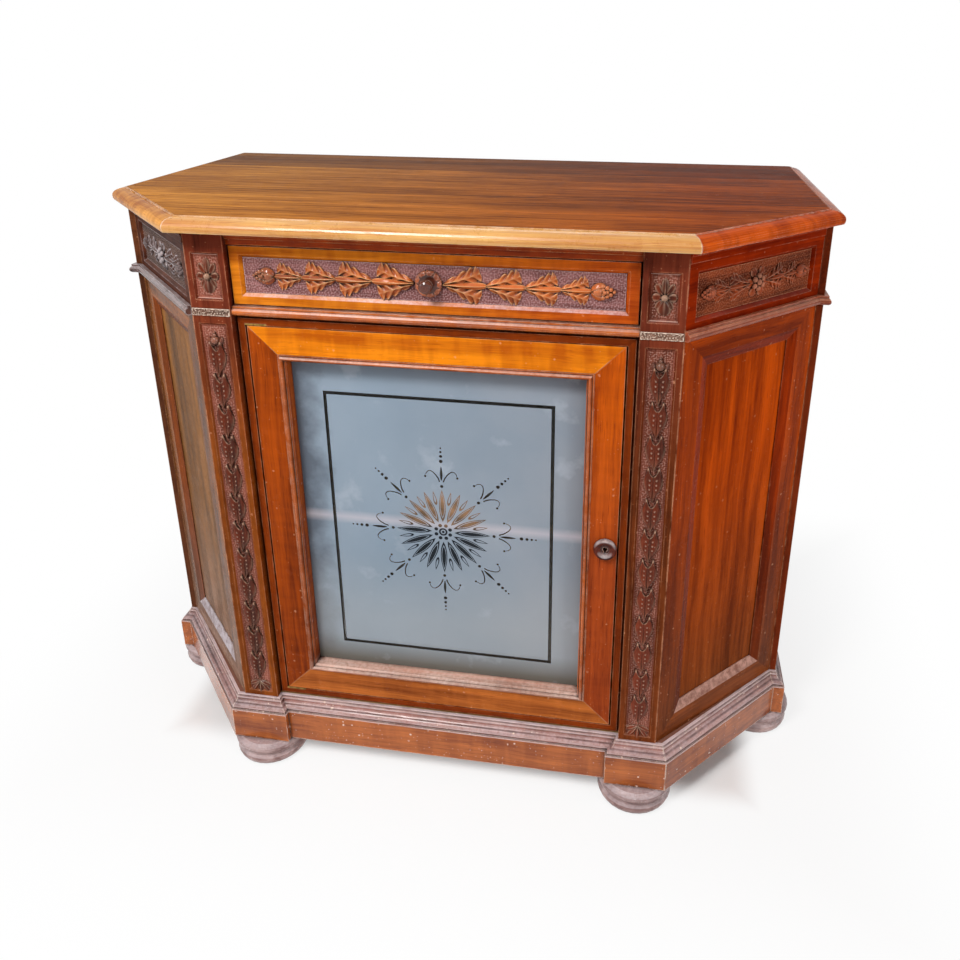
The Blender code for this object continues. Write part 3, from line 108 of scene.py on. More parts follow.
def product(tree, *factors, clamp=False):
    """Figures multiplied in turn; a clamp acts on the last step."""
    result = factors[0]
    for number, factor in enumerate(factors[1:], 2):
        result = figure(tree, "MULTIPLY", result, factor, clamp and number == len(factors))
    return result


def total(tree, *terms):
    """Figures added up."""
    result = terms[0]
    for term in terms[1:]:
        result = figure(tree, "ADD", result, term)
    return result


def lie(tree):
    """Where a point lies on its piece, whole and as X, Y and Z."""
    where = add(tree, "TexCoord").outputs["Object"]
    return where, add(tree, "SeparateXYZ", Vector=where).outputs


def new_material(name):
    """An empty material with its tree and its shader."""
    made = bpy.data.materials.new(name)
    made.use_nodes = True
    return made, made.node_tree, made.node_tree.nodes["Principled BSDF"]


def white_where_seen(tree, lit, white, out, share=1.0):
    """White for what looks straight at it, in a mirror or through glass; the lit shader for the rest."""
    rays = add(tree, "LightPath").outputs
    seen = figure(tree, "MAXIMUM", rays["Is Camera Ray"], rays["Is Glossy Ray"])
    seen = product(tree, share, figure(tree, "MAXIMUM", seen, rays["Is Transmission Ray"]))
    choice = add(tree, "MixShader")
    for number, source in enumerate((seen, lit, white)):
        tree.links.new(source, choice.inputs[number])
    tree.links.new(choice.outputs[0], out)


world = bpy.data.worlds.new("studio")
world.use_nodes = True
scene.world = world
sky_tree = world.node_tree
sky = sky_tree.nodes["Background"]
sky.inputs["Color"].default_value = (0.92, 0.95, 1.0, 1)
sky.inputs["Strength"].default_value = 0.2
white_where_seen(sky_tree, sky.outputs[0], add(sky_tree, "Background", Color=(1, 1, 1, 1)).outputs[0],
                 sky_tree.nodes["World Output"].inputs[0])

bpy.ops.mesh.primitive_plane_add(size=14, location=(0, 0, 0))
floor = bpy.context.object
floor.name = "studio_floor"
floor_paint, paint_tree, floor_shader = new_material("floor_paint")
floor_shader.inputs["Base Color"].default_value = (0.98, 0.98, 0.985, 1)
floor_shader.inputs["Roughness"].default_value = 0.9
floor_shader.inputs["Specular IOR Level"].default_value = 0.1
parts = lie(paint_tree)[1]
past_x, past_y = (figure(paint_tree, "SUBTRACT", figure(paint_tree, "ABSOLUTE", parts[axis]), half)
                  for axis, half in (("X", 0.60), ("Y", 0.34)))
away = figure(paint_tree, "MAXIMUM", past_x, past_y)
fades = [add(paint_tree, "MapRange", interpolation_type="SMOOTHSTEP", Value=away, From_Min=start, From_Max=end,
             To_Max=most).outputs["Result"] for start, end, most in ((-0.10, -0.04, 0.80), (-0.04, 0.4, 0.20))]
white_where_seen(paint_tree, floor_shader.outputs[0], add(paint_tree, "Emission").outputs[0],
                 paint_tree.nodes["Material Output"].inputs[0], total(paint_tree, *fades))
floor.data.materials.append(floor_paint)


# Feet
# Six turned bun feet, knocked and dusty, screwed up into the blocks of the plinth.
# Like every show surface they are walnut or stained beech under old varnish, each board with its own grain.
VARNISH_RELIEF = 0.00012


def tone(red, green, blue):
    """A colour as it shows on a screen, as the shader wants it."""
    linear = []
    for value in (red, green, blue):
        share = value / 255
        linear.append(share / 12.92 if share <= 0.04045 else ((share + 0.055) / 1.055) ** 2.4)
    return (*linear, 1)


def vector_figure(tree, operation, *values):
    """The Vector Math node that works on the values."""
    made = add(tree, "VectorMath", operation=operation)
    for number, value in enumerate(values):
        feed(tree, made.inputs[number], value)
    return made.outputs


def distance(tree, value, middle):
    """How far a figure is from its middle, either way."""
    return figure(tree, "ABSOLUTE", figure(tree, "SUBTRACT", value, middle))


def blend_colour(tree, share, first, second, mode="MIX"):
    """A colour mix."""
    made = add(tree, "Mix", data_type="RGBA", blend_type=mode, clamp_factor=True)
    for place, value in ((0, share), (6, first), (7, second)):
        feed(tree, made.inputs[place], value)
    return made.outputs[2]


def spread(tree, value, low, high, to_low=0.0, to_high=1.0):
    """A clamped range change."""
    return add(tree, "MapRange", clamp=True, Value=value, From_Min=low, From_Max=high, To_Min=to_low,
               To_Max=to_high).outputs["Result"]


def noise(tree, where, scale, detail, roughness=0.5):
    """A cloudy pattern."""
    return add(tree, "TexNoise", Vector=where, Scale=scale, Detail=detail, Roughness=roughness).outputs["Fac"]


def new_group(name, inputs, outputs):
    """An empty shader group with its named sockets: the group, what it is given and what it gives."""
    group = bpy.data.node_groups.new(name, "ShaderNodeTree")
    for way, sockets in (("INPUT", inputs), ("OUTPUT", outputs)):
        for kind, labels in sockets:
            for label in labels:
                group.interface.new_socket(label, in_out=way, socket_type="NodeSocket" + kind)
    return group, group.nodes.new("NodeGroupInput").outputs, group.nodes.new("NodeGroupOutput").inputs


def make_grain_group():
    """Walnut along X: broad streaks, arched rings, curl across the grain and fine dark pores."""
    group, given, leave = new_group(
        "walnut grain",
        (("Vector", ["Vector"]), ("Color", ["Light", "Dark"]),
         ("Float", ["Streak", "Rings", "Curl", "Fine", "Pores"])),
        (("Color", ["Color"]), ("Float", ["Height"])))
    drift = add(group, "TexNoise", Vector=given["Vector"], Scale=4.0, Detail=2.0).outputs["Color"]
    pull = vector_figure(group, "MULTIPLY_ADD", drift, (0.03, 0.022, 0.022), given["Vector"])[0]

    def drawn_out(kind, stretch, **settings):
        """A pattern drawn out along the grain."""
        return add(group, kind, Vector=vector_figure(group, "MULTIPLY", pull, stretch)[0], **settings).outputs["Fac"]

    broad = drawn_out("TexNoise", (0.07, 1, 1), Scale=26.0, Detail=5.0, Roughness=0.62)
    fine = drawn_out("TexNoise", (0.022, 1, 1), Scale=190.0, Detail=4.0, Roughness=0.6)
    ring = drawn_out("TexWave", (0.22, 1, 1), wave_type="RINGS", rings_direction="X", Scale=9.0, Distortion=5.0,
                     Detail=2.0, Detail_Scale=1.2)
    curl = drawn_out("TexNoise", (1, 0.22, 0.22), Scale=52.0, Detail=2.0, Roughness=0.5)
    pore = drawn_out("TexNoise", (0.035, 1, 1), Scale=620.0, Detail=2.0, Roughness=0.5)
    weights = [given[label] for label in ("Streak", "Rings", "Fine", "Curl")]
    figured = [product(group, pattern, weight) for pattern, weight in zip((
        spread(group, broad, 0.32, 0.68), ring, spread(group, fine, 0.35, 0.65), spread(group, curl, 0.38, 0.62)),
        weights)]
    share = figure(group, "DIVIDE", total(group, *figured), total(group, *weights), clamp=True)
    colour = blend_colour(group, spread(group, share, 0.22, 0.78), given["Dark"], given["Light"])
    pits = product(group, spread(group, pore, 0.60, 0.70), given["Pores"])
    colour = blend_colour(group, product(group, pits, 0.7), colour, given["Dark"], "MULTIPLY")
    feed(group, leave["Color"], colour)
    feed(group, leave["Height"], figure(group, "SUBTRACT", product(group, figured[2], 0.4), pits))
    return group


def make_wear_group():
    """Age on a finish: worn arrises, dirt and painted shade in hollows, dusting and painted top light on ledges,
    painted glints on crests, and small chips.
    """
    group, given, leave = new_group(
        "age",
        (("Color", ["Color", "Pale Wear And Glint", "Grime Color", "Dust Color"]),
         ("Float", ["Wear", "Grime And Shade", "Dusting And Top Light", "Chips", "Ridge Light"])),
        (("Color", ["Color"]), ("Float", ["Roughness", "Height"])))
    where = add(group, "TexCoord").outputs["Object"]
    plain = add(group, "NewGeometry").outputs
    rounded = add(group, "Bevel", samples=4, Radius=0.0022).outputs["Normal"]
    edge = spread(group, vector_figure(group, "DOT_PRODUCT", rounded, plain["Normal"])["Value"], 0.995, 0.86)
    patch = noise(group, where, 38.0, 5.0, 0.65)
    slow = noise(group, where, 7.0, 4.0, 0.6)
    speck = add(group, "TexNoise", Vector=where, Scale=160.0, Detail=5.0, Roughness=0.75).outputs
    worn = product(group, edge, spread(group, patch, 0.36, 0.60), given["Wear"], clamp=True)
    # Painted light on carved relief: crests take the pale wear colour as painted glints, and dips darken as painted
    # shade.
    crest = product(group, spread(group, plain["Pointiness"], 0.505, 0.57), given["Ridge Light"], clamp=True)
    dip = product(group, spread(group, plain["Pointiness"], 0.495, 0.43), given["Ridge Light"], 0.8, clamp=True)
    # Hollows and corners found by ambient occlusion darken to the dark colour: part real dirt, part painted shade
    # where light does not reach.
    hollow = add(group, "AmbientOcclusion", samples=4, Distance=0.012).outputs["AO"]
    shut = product(group, spread(group, hollow, 0.78, 0.30), given["Grime And Shade"], clamp=True)
    # Upward faces turn towards the pale colour: part real dusting, part painted top light on ledges and the tops of
    # rounds.
    upward = spread(group, add(group, "SeparateXYZ", Vector=plain["Normal"]).outputs["Z"], 0.1, 0.7, 0.015)
    dusting_and_top_light_mask = product(group, spread(group, speck["Fac"], 0.38, 0.62, 0.45), upward,
                      spread(group, slow, 0.34, 0.60, 0.35), given["Dusting And Top Light"], clamp=True)
    dusting_and_top_light_mask = product(group, dusting_and_top_light_mask, figure(group, "SUBTRACT", 1.0, shut))
    jagged = vector_figure(group, "MULTIPLY_ADD", speck["Color"], (0.006, 0.006, 0.006), where)[0]
    size = spread(group, patch, 0.28, 0.66, 0.03, 0.22)
    flecks = []
    for spacing, least in ((75.0, 0.85), (190.0, 0.90)):
        cell = add(group, "TexVoronoi", Vector=jagged, Scale=spacing, Randomness=1.0).outputs
        near = spread(group, figure(group, "SUBTRACT", size, cell["Distance"]), 0.0, 0.05)
        draw = add(group, "SeparateColor", Color=cell["Color"]).outputs[0]
        rarity = figure(group, "SUBTRACT", least, product(group, given["Chips"], 0.2))
        flecks.append(product(group, near, spread(group, figure(group, "SUBTRACT", draw, rarity), 0.0, 0.03)))
    fleck = product(group, total(group, *flecks), total(group, edge, 0.6), given["Chips"], clamp=True)
    colour = given["Color"]
    for share, overlay in ((worn, "Pale Wear And Glint"), (crest, "Pale Wear And Glint"), (dip, "Grime Color"), (shut, "Grime Color"),
                        (dusting_and_top_light_mask, "Dust Color"), (fleck, "Pale Wear And Glint")):
        colour = blend_colour(group, share, colour, given[overlay])
    dull = total(group, product(group, dusting_and_top_light_mask, 0.5), product(group, shut, 0.35), product(group, worn, 0.15),
                 spread(group, patch, 0.3, 0.7, -0.05, 0.08))
    for label, source in (("Color", colour), ("Roughness", dull), ("Height", product(group, fleck, -1.0))):
        feed(group, leave[label], source)
    return group


GRAIN = make_grain_group()
AGE = make_wear_group()


def lie_of_grain(tree, turn, along, seed, middle, half):
    """Object coordinates turned so that the grain runs along X.

    Turn is the wall's angle in plan. Along is width, up or mitred, where each member follows its own length.
    """
    plan = add(tree, "Mapping", vector_type="POINT", Vector=add(tree, "TexCoord").outputs["Object"],
               Rotation=(0, 0, math.radians(-turn)))
    parts = add(tree, "SeparateXYZ", Vector=plan.outputs[0]).outputs
    across, up = parts["X"], parts["Z"]
    shifted = total(tree, parts["Y"], seed)
    level = add(tree, "CombineXYZ", X=across, Y=shifted, Z=up).outputs[0]
    upright = add(tree, "CombineXYZ", X=up, Y=shifted, Z=across).outputs[0]
    if along != "mitred":
        return upright if along == "up" else level
    to_side = figure(tree, "SUBTRACT", half[0], distance(tree, across, middle[0]))
    to_end = figure(tree, "SUBTRACT", half[1], distance(tree, up, middle[1]))
    pick = add(tree, "Mix", data_type="VECTOR", Factor=figure(tree, "LESS_THAN", to_end, to_side))
    feed(tree, pick.inputs[4], upright)
    feed(tree, pick.inputs[5], level)
    return pick.outputs[1]


def wood(name, light, dark, turn=0, along="width", middle=(0, 0), half=(1, 1), streak=1.0, rings=0.3, curl=0.2,
         fine=0.45, pores=0.6, pale_wear_and_glint=(225, 165, 120), grime_and_shade_colour=(34, 14, 9), dusting_and_top_light_colour=(205, 190, 185), wear=0.6,
         soil_and_shade=0.6, dusting_and_top_light=0.0, chips=0.3, ridge_light=0.0, gloss=0.34, shine=0.12, seed=0.0, far=None):
    """A wood finish: the grain, then its age, then the varnish over both.

    Far is a second pair of colours that the board drifts to between two places along an axis.
    """
    made, tree, shader = new_material(name)
    light, dark = tone(*light), tone(*dark)
    if far:
        far_light, far_dark, axis, start, end = far
        share = spread(tree, lie(tree)[1][axis], start, end)
        light = blend_colour(tree, share, light, tone(*far_light))
        dark = blend_colour(tree, share, dark, tone(*far_dark))
    grain, age = (add(tree, "Group", node_tree=group) for group in (GRAIN, AGE))
    for target, values in (
            (grain, {"Vector": lie_of_grain(tree, turn, along, seed, middle, half), "Light": light, "Dark": dark,
                     "Streak": streak, "Rings": rings, "Curl": curl, "Fine": fine, "Pores": pores}),
            (age, {"Color": grain.outputs["Color"], "Pale Wear And Glint": tone(*pale_wear_and_glint), "Grime Color": tone(*grime_and_shade_colour),
                   "Dust Color": tone(*dusting_and_top_light_colour), "Wear": wear, "Grime And Shade": soil_and_shade, "Dusting And Top Light": dusting_and_top_light, "Chips": chips,
                   "Ridge Light": ridge_light})):
        for label, value in values.items():
            feed(tree, target.inputs[label], value)
    bump = add(tree, "Bump", Strength=1.0, Distance=VARNISH_RELIEF,
               Height=total(tree, grain.outputs["Height"], age.outputs["Height"]))
    feed(tree, shader.inputs["Base Color"], age.outputs["Color"])
    feed(tree, shader.inputs["Roughness"], figure(tree, "ADD", age.outputs["Roughness"], gloss, clamp=True))
    feed(tree, shader.inputs["Normal"], bump.outputs["Normal"])
    shader.inputs["IOR"].default_value = 1 + shine
    return made


def dress(names, material):
    """Put a finish on CAD nodes."""
    for name in names:
        for place in node[name].material_slots:
            place.material = material


foot_wood = wood("foot_walnut", (196, 166, 162), (128, 94, 90), wear=0.5, soil_and_shade=0.9, pale_wear_and_glint=(236, 222, 220),
                 dusting_and_top_light_colour=(226, 216, 222), dusting_and_top_light=0.5, chips=0.6, gloss=0.2, shine=0.4)
dress([name for name in node if name.startswith("foot_")], foot_wood)


# Plinth
# Moulded lengths mitred at the canted corners, with solid blocks that stand forward over the front feet.
# The mouldings hold years of pale dusting, partly painted top light on their upper faces, and the faces are scuffed.
# Pale lines along them are painted highlights on the rounds and worn arrises on the fillets,
# and dark lines are painted shade with dirt in the quirks.
PLINTH_MOULD_LOW = 0.1045
HIGHLIGHT_AND_WEAR_LINES = ((0.1034, 0.0012, 0.6), (0.1085, 0.0016, 0.4), (0.1213, 0.0016, 0.6), (0.1264, 0.0012, 0.8))
SHADE_AND_DIRT_LINES = ((0.1053, 0.0010, 0.7), (0.1132, 0.0011, 0.65), (0.1241, 0.0010, 0.7))


def painted(material):
    """The tree of a finish, the socket that takes its colour and the colour that it has so far."""
    paint = material.node_tree.nodes["Principled BSDF"].inputs["Base Color"]
    return material.node_tree, paint, paint.links[0].from_socket


def lined(material, lines, colour):
    """Painted lines along a moulding, each with its height, half width and strength: pale for highlights and wear,
    dark for shade and dirt.
    """
    tree, paint, shown = painted(material)
    where, parts = lie(tree)
    fade = spread(tree, noise(tree, where, 24.0, 4.0, 0.6), 0.34, 0.56, 0.45)
    for height, half, strength in lines:
        share = product(tree, fade, spread(tree, distance(tree, parts["Z"], height), half, half * 0.3, 0, strength))
        shown = blend_colour(tree, share, shown, tone(*colour))
    feed(tree, paint, shown)


plinth_nodes = {0: ["front", "block_left", "block_right"], 45: ["cant_right"], -45: ["cant_left"],
                90: ["side_left", "side_right"]}
for turn, lengths in plinth_nodes.items():
    mauve = ((166, 106, 92), (100, 58, 50), "Z", PLINTH_MOULD_LOW - 0.002, PLINTH_MOULD_LOW + 0.002)
    plinth_wood = wood("plinth_walnut_%d" % turn, (200, 110, 46), (132, 60, 20), turn=turn, rings=0.2, curl=0.3,
                       pale_wear_and_glint=(240, 214, 196), dusting_and_top_light_colour=(226, 204, 208), wear=1.8, soil_and_shade=1.4, dusting_and_top_light=0.6, chips=1.6,
                       gloss=0.12, shine=0.4, seed=turn * 0.01, far=mauve)
    # Painted highlights and worn arrises in pale lines, then painted shade with dirt in dark lines.
    lined(plinth_wood, HIGHLIGHT_AND_WEAR_LINES, (242, 222, 226))
    lined(plinth_wood, SHADE_AND_DIRT_LINES, (52, 30, 28))
    dress(["plinth_" + length for length in lengths], plinth_wood)


# Inside
# Bare pine, planed and never varnished: bottom board, back, shelf and bearers, drawer box, runners and guides.
# The bottom board's outer edge shows below the canted walls and is stained to match the plinth.
STAIN_EDGE = 0.660
pine = {"curl": 0.0, "pores": 0.2, "wear": 0.2, "soil_and_shade": 0.5, "pale_wear_and_glint": (225, 190, 140), "grime_and_shade_colour": (70, 46, 28)}
pine_level = wood("pine_level", (214, 168, 110), (176, 128, 78), streak=0.6, rings=0.7, chips=0.2, gloss=0.6, **pine)
pine_deep = wood("pine_deep", (208, 162, 106), (170, 123, 75), turn=90, streak=0.6, rings=0.6, chips=0.2, gloss=0.6,
                 seed=0.3, **pine)
pine_upright = wood("pine_upright", (190, 144, 92), (156, 110, 66), along="up", streak=0.5, rings=0.5, chips=0.3,
                    gloss=0.65, seed=0.6, **pine)
pine_floor = wood("pine_floor", (214, 168, 110), (176, 128, 78), streak=0.6, rings=0.7, chips=0.2, gloss=0.6, **pine)
tree, paint, shown = painted(pine_floor)
parts = lie(tree)[1]
past = figure(tree, "SUBTRACT", figure(tree, "ABSOLUTE", parts["X"]), parts["Y"])
stained = spread(tree, past, STAIN_EDGE - 0.001, STAIN_EDGE + 0.001)
feed(tree, paint, blend_colour(tree, stained, shown, tone(132, 88, 74)))
dress(["shelf", "drawer_back", "drawer_bottom"], pine_level)
dress([part + hand for part in ("drawer_side_", "drawer_runner_", "shelf_bearer_") for hand in ("left", "right")],
      pine_deep)
dress(["back_panel"], pine_upright)
dress(["bottom_board"], pine_floor)


# Framed walls
# Canted corners and sides: mitred frames with a sloping inner edge round a flat veneered panel.
# Each panel stands loose in the groove of its frame, so that it can shrink and swell.
BODY_HALF_HEIGHT = 0.36344
BODY_MIDDLE = 0.49031
CANT_MIDDLE = 0.19728
SIDE_MIDDLE = 0.123
# The left entries are the same walnut as the right ones, painted duller, greyer and darker as the shade and grey
# sheen on the left side. Both sides drift darker and browner towards the bottom.
wall_looks = {
    "right": ((204, 80, 8), (126, 42, 4), (214, 84, 10), (144, 48, 6),
              ((150, 76, 32), (96, 44, 16), "Z", 0.62, 0.16), (214, 166, 150), (124, 46, 14), (86, 28, 7)),
    "left": ((164, 92, 28), (90, 48, 13), (150, 98, 48), (90, 58, 28),
             ((160, 124, 104), (104, 74, 54), "Z", 0.45, 0.14), (206, 196, 202), (112, 62, 36), (70, 36, 20)),
}


def shaded_slope(material, out, shade, overlay):
    """Paint shade on the faces that turn away from the flat of the frame, and a pale dusting on the ones that face
    up.
    """
    tree, paint, shown = painted(material)
    normal = add(tree, "NewGeometry").outputs["Normal"]
    turned = spread(tree, vector_figure(tree, "DOT_PRODUCT", normal, out)["Value"], 0.995, 0.97, 0, 0.9)
    shown = blend_colour(tree, turned, shown, tone(*shade), "MULTIPLY")
    scuff = noise(tree, add(tree, "TexCoord").outputs["Object"], 90.0, 5.0, 0.7)
    upward = add(tree, "SeparateXYZ", Vector=normal).outputs["Z"]
    lying = product(tree, spread(tree, upward, 0.04, 0.15), spread(tree, scuff, 0.36, 0.60, 0.3, 0.9))
    feed(tree, paint, blend_colour(tree, lying, shown, tone(*overlay)))


for side, hand in ((1, "right"), (-1, "left")):
    light, dark, panel_light, panel_dark, low, overlay, side_light, side_dark = wall_looks[hand]
    frame_wood = wood("cant_frame_walnut_" + hand, light, dark, turn=45 * side, along="mitred",
                      middle=(side * CANT_MIDDLE, BODY_MIDDLE), half=(0.1485, BODY_HALF_HEIGHT), rings=0.3,
                      curl=0.06, pale_wear_and_glint=(236, 170, 130), wear=0.9, soil_and_shade=1.0, chips=0.8, gloss=0.24, shine=0.1,
                      seed=side * 0.2, far=low)
    shaded_slope(frame_wood, (side * 0.7071, -0.7071, 0), (206, 172, 162), overlay)
    dress(["cant_frame_" + hand], frame_wood)
    dress(["cant_panel_" + hand], wood(
        "cant_panel_walnut_" + hand, panel_light, panel_dark, turn=45 * side, along="up", rings=0.3, curl=0.03,
        wear=0.3, soil_and_shade=0.9, chips=0.4, gloss=0.26, shine=0.05, seed=side * 0.5, far=low))
    dress(["side_frame_" + hand], wood(
        "side_frame_walnut_" + hand, side_light, side_dark, turn=90, along="mitred",
        middle=(SIDE_MIDDLE, BODY_MIDDLE), half=(0.21, BODY_HALF_HEIGHT), rings=0.2, seed=0.9))
    dress(["side_panel_" + hand], wood(
        "side_panel_walnut_" + hand, side_light, side_dark, turn=90, along="up", rings=0.15, seed=1.3))


# Cant friezes, side friezes and waist beads
# Deep red boards above the framed walls, each with a sunk field between a bead below and steps above.
# The ground of a field is pricked all over with a punch, and the leaves stand up from it.
CARVED_DEPTH = 0.006
GROUND_PLATE = 0.0005
GROUND_STEP = 0.0009
GROUND_TUCK = 0.0006
GROUND_SINK = 0.0004
PRICK_SPACING = 0.0031
PRICK_DEPTH = 0.0010
PRICK_ROWS, PRICK_LINES = 61, 67
LEAF_EDGE = 0.0022
BODY_X = 0.587
CANT_WIDTH = 0.297
CANT_CORNER = (0.366, -0.297)
FRIEZE_MIDDLE = 0.907
FRIEZE_HEIGHT = 0.062
UP = Vector((0, 0, 1))


def select_only(*parts):
    """Select these objects and nothing else, the first one active."""
    bpy.ops.object.select_all(action="DESELECT")
    for part in parts:
        part.select_set(True)
    bpy.context.view_layer.objects.active = parts[0]


def start_edit():
    """Into edit mode, with everything selected."""
    bpy.ops.object.mode_set(mode="EDIT")
    bpy.ops.mesh.select_all(action="SELECT")


def end_edit():
    """Turn all faces outwards and leave edit mode."""
    bpy.ops.mesh.select_all(action="SELECT")
    bpy.ops.mesh.normals_make_consistent(inside=False)
    bpy.ops.object.mode_set(mode="OBJECT")


def carved_sheet(columns, rows, shape):
    """A carved skin on solid wood, its points where shape(u, v) says.

    u runs from 0 to 1 along it, v from -1 to 1 across.
    """
    bpy.ops.object.select_all(action="DESELECT")
    bpy.ops.mesh.primitive_grid_add(x_subdivisions=columns, y_subdivisions=rows, size=2)
    made = bpy.context.object
    places = np.empty(len(made.data.vertices) * 3)
    made.data.vertices.foreach_get("co", places)
    places = places.reshape(-1, 3)
    carved = np.column_stack(shape((places[:, 0] + 1) / 2, places[:, 1]))
    made.data.vertices.foreach_set("co", carved.ravel())
    bpy.ops.object.shade_smooth()
    start_edit()
    bpy.ops.mesh.region_to_loop()
    bpy.ops.mesh.extrude_edges_move()
    bpy.ops.transform.resize(value=(1, 1, 0), center_override=(0, 0, 0))
    bpy.ops.mesh.edge_face_add()
    bpy.ops.mesh.select_all(action="SELECT")
    bpy.ops.mesh.remove_doubles(threshold=0.00002)
    end_edit()
    return made


def leaf(length, width, height, lobes=1, bite=0.4, lean=0.16, bend=0.0, rib=0.2, valley=0.4, fullness=0.55,
         tail=0.8, hollow=0.0):
    """A pointed leaf along X from the origin, with rounded lobes, a raised rib and a valley from each notch.

    Hollow scoops the middle so that the rim stands up.
    """
    columns = 10 * lobes if lobes > 1 else 22
    peak = (fullness / (fullness + tail)) ** fullness * (tail / (fullness + tail)) ** tail
    turn = bend if abs(bend) > 0.001 else 0.001

    def shape(u, v):
        lobe = 0.5 - 0.5 * np.cos(2 * np.pi * u * lobes) if lobes > 1 else 1.0
        outline = (u * 0.97 + 0.015) ** fullness * (1 - u * 0.97) ** tail / peak
        aside = width * outline * (1 - bite * (1 - lobe) ** 1.5) * v
        angle = turn * u
        ahead = length * lean * np.abs(v) ** 1.4 * np.sin(np.pi * u)
        x = length * np.sin(angle) / turn + ahead * np.cos(angle) - aside * np.sin(angle)
        y = length * (1 - np.cos(angle)) / turn + ahead * np.sin(angle) + aside * np.cos(angle)
        arch = 0.45 + 0.55 * np.sin(np.pi * np.clip(u * 0.85 + 0.1, 0, 1))
        fall = 1 - 0.5 * np.abs(v) ** 1.6 - valley * (1 - lobe) * np.abs(v) ** 0.6
        fall -= hollow * np.exp(-(v / 0.55) ** 2) * np.sin(np.pi * u)
        z = height * (arch * fall + rib * np.exp(-(v / 0.16) ** 2) * (1 - u))
        return x, y, np.maximum(z, LEAF_EDGE * (1 - 0.4 * np.abs(v) ** 3))

    return carved_sheet(columns, 12, shape)


def bead(radius, height, place=(0, 0)):
    """A round berry standing on the ground, its foot cut flat."""
    bpy.ops.object.select_all(action="DESELECT")
    bpy.ops.mesh.primitive_uv_sphere_add(segments=14, ring_count=8, radius=radius, location=(0, 0, 0))
    made = bpy.context.object
    start_edit()
    bpy.ops.mesh.bisect(plane_co=(0, 0, -radius * 0.45), plane_no=(0, 0, 1), clear_inner=True, use_fill=True)
    bpy.ops.mesh.select_all(action="SELECT")
    bpy.ops.transform.translate(value=(*place, height))
    bpy.ops.object.mode_set(mode="OBJECT")
    bpy.ops.object.shade_smooth()
    return made


def round_about(radius, angle):
    """A place on a circle, the angle in degrees."""
    return radius * math.cos(math.radians(angle)), radius * math.sin(math.radians(angle))


def moved(made, turn=0.0, place=(0, 0), scale=1.0):
    """Turn a carved part about its root, size it and set it at a place on the ground."""
    turned = Matrix.Rotation(math.radians(turn), 4, "Z") @ Matrix.Scale(scale, 4)
    made.data.transform(Matrix.Translation((*place, 0)) @ turned)
    return made


def copied(source):
    """A copy with a mesh of its own."""
    made = source.copy()
    made.data = source.data.copy()
    scene.collection.objects.link(made)
    return made


def joined(parts, name):
    """Several carved parts as one piece."""
    select_only(*parts)
    bpy.ops.object.join()
    parts[0].name = name
    return parts[0]


def on_face(made, origin, axes, body, material, name):
    """Stand a carved piece on a sunk ground, its X, Y and Z along the three axes given."""
    matrix = Matrix(axes).transposed().to_4x4()
    matrix.translation = origin
    made.data.transform(matrix)
    if matrix.determinant() < 0:
        made.data.flip_normals()
    made.name = name
    made.data.materials.clear()
    made.data.materials.append(material)
    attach(made, body)


def pricked_ground(width, height, seed, rise=0.0, slope=1.0):
    """A thin skin of wood over a sunk ground, dented by punch marks that stand a little unevenly.

    Its edges run a little way into the walls of the field, or climb a sloping wall by the given rise.
    """
    strays = np.random.default_rng(seed).random((PRICK_ROWS, PRICK_LINES, 2))
    half_x, half_y = width / 2, height / 2
    width, height = width + 2 * GROUND_TUCK + 2 * rise, height + 2 * GROUND_TUCK + 2 * rise

    def shape(u, v):
        x, y = width * (u - 0.5), height * v / 2
        nearest = np.full(len(x), 9.0)
        for step_x in (-1, 0, 1):
            for step_y in (-1, 0, 1):
                row = np.floor(x / PRICK_SPACING).astype(int) + step_x
                line = np.floor(y / PRICK_SPACING).astype(int) + step_y
                stray = strays[row % PRICK_ROWS, line % PRICK_LINES]
                away_x = (row + 0.1 + 0.8 * stray[:, 0]) * PRICK_SPACING - x
                away_y = (line + 0.1 + 0.8 * stray[:, 1]) * PRICK_SPACING - y
                nearest = np.minimum(nearest, np.hypot(away_x, away_y))
        skin = GROUND_PLATE + PRICK_DEPTH - PRICK_DEPTH * np.clip(1 - nearest / (0.62 * PRICK_SPACING), 0, 1)
        if rise:
            up_wall = np.clip(np.maximum(np.abs(x) - half_x, np.abs(y) - half_y), 0, None)
            share = np.clip(up_wall / rise, 0, 1)
            skin = skin * (1 - share) - GROUND_SINK * share + slope * up_wall
        return x, y, skin

    return carved_sheet(round(width / GROUND_STEP), round(height / GROUND_STEP), shape)


def tuft():
    """Two lobed leaves that open from one stem, and a smooth pointed one over the seam between them."""
    upper = moved(leaf(0.053, 0.0124, 0.0070, lobes=4, bite=0.33, lean=0.21, bend=0.12, fullness=0.75, tail=0.34,
                       valley=0.5), turn=15, place=(0.001, 0.001))
    lower = copied(upper)
    select_only(lower)
    start_edit()
    bpy.ops.transform.resize(value=(1, -1, 1), center_override=(0, 0, 0))
    end_edit()
    return joined([leaf(0.062, 0.0052, 0.0086, fullness=0.8, rib=0.25), upper, lower], "tuft")


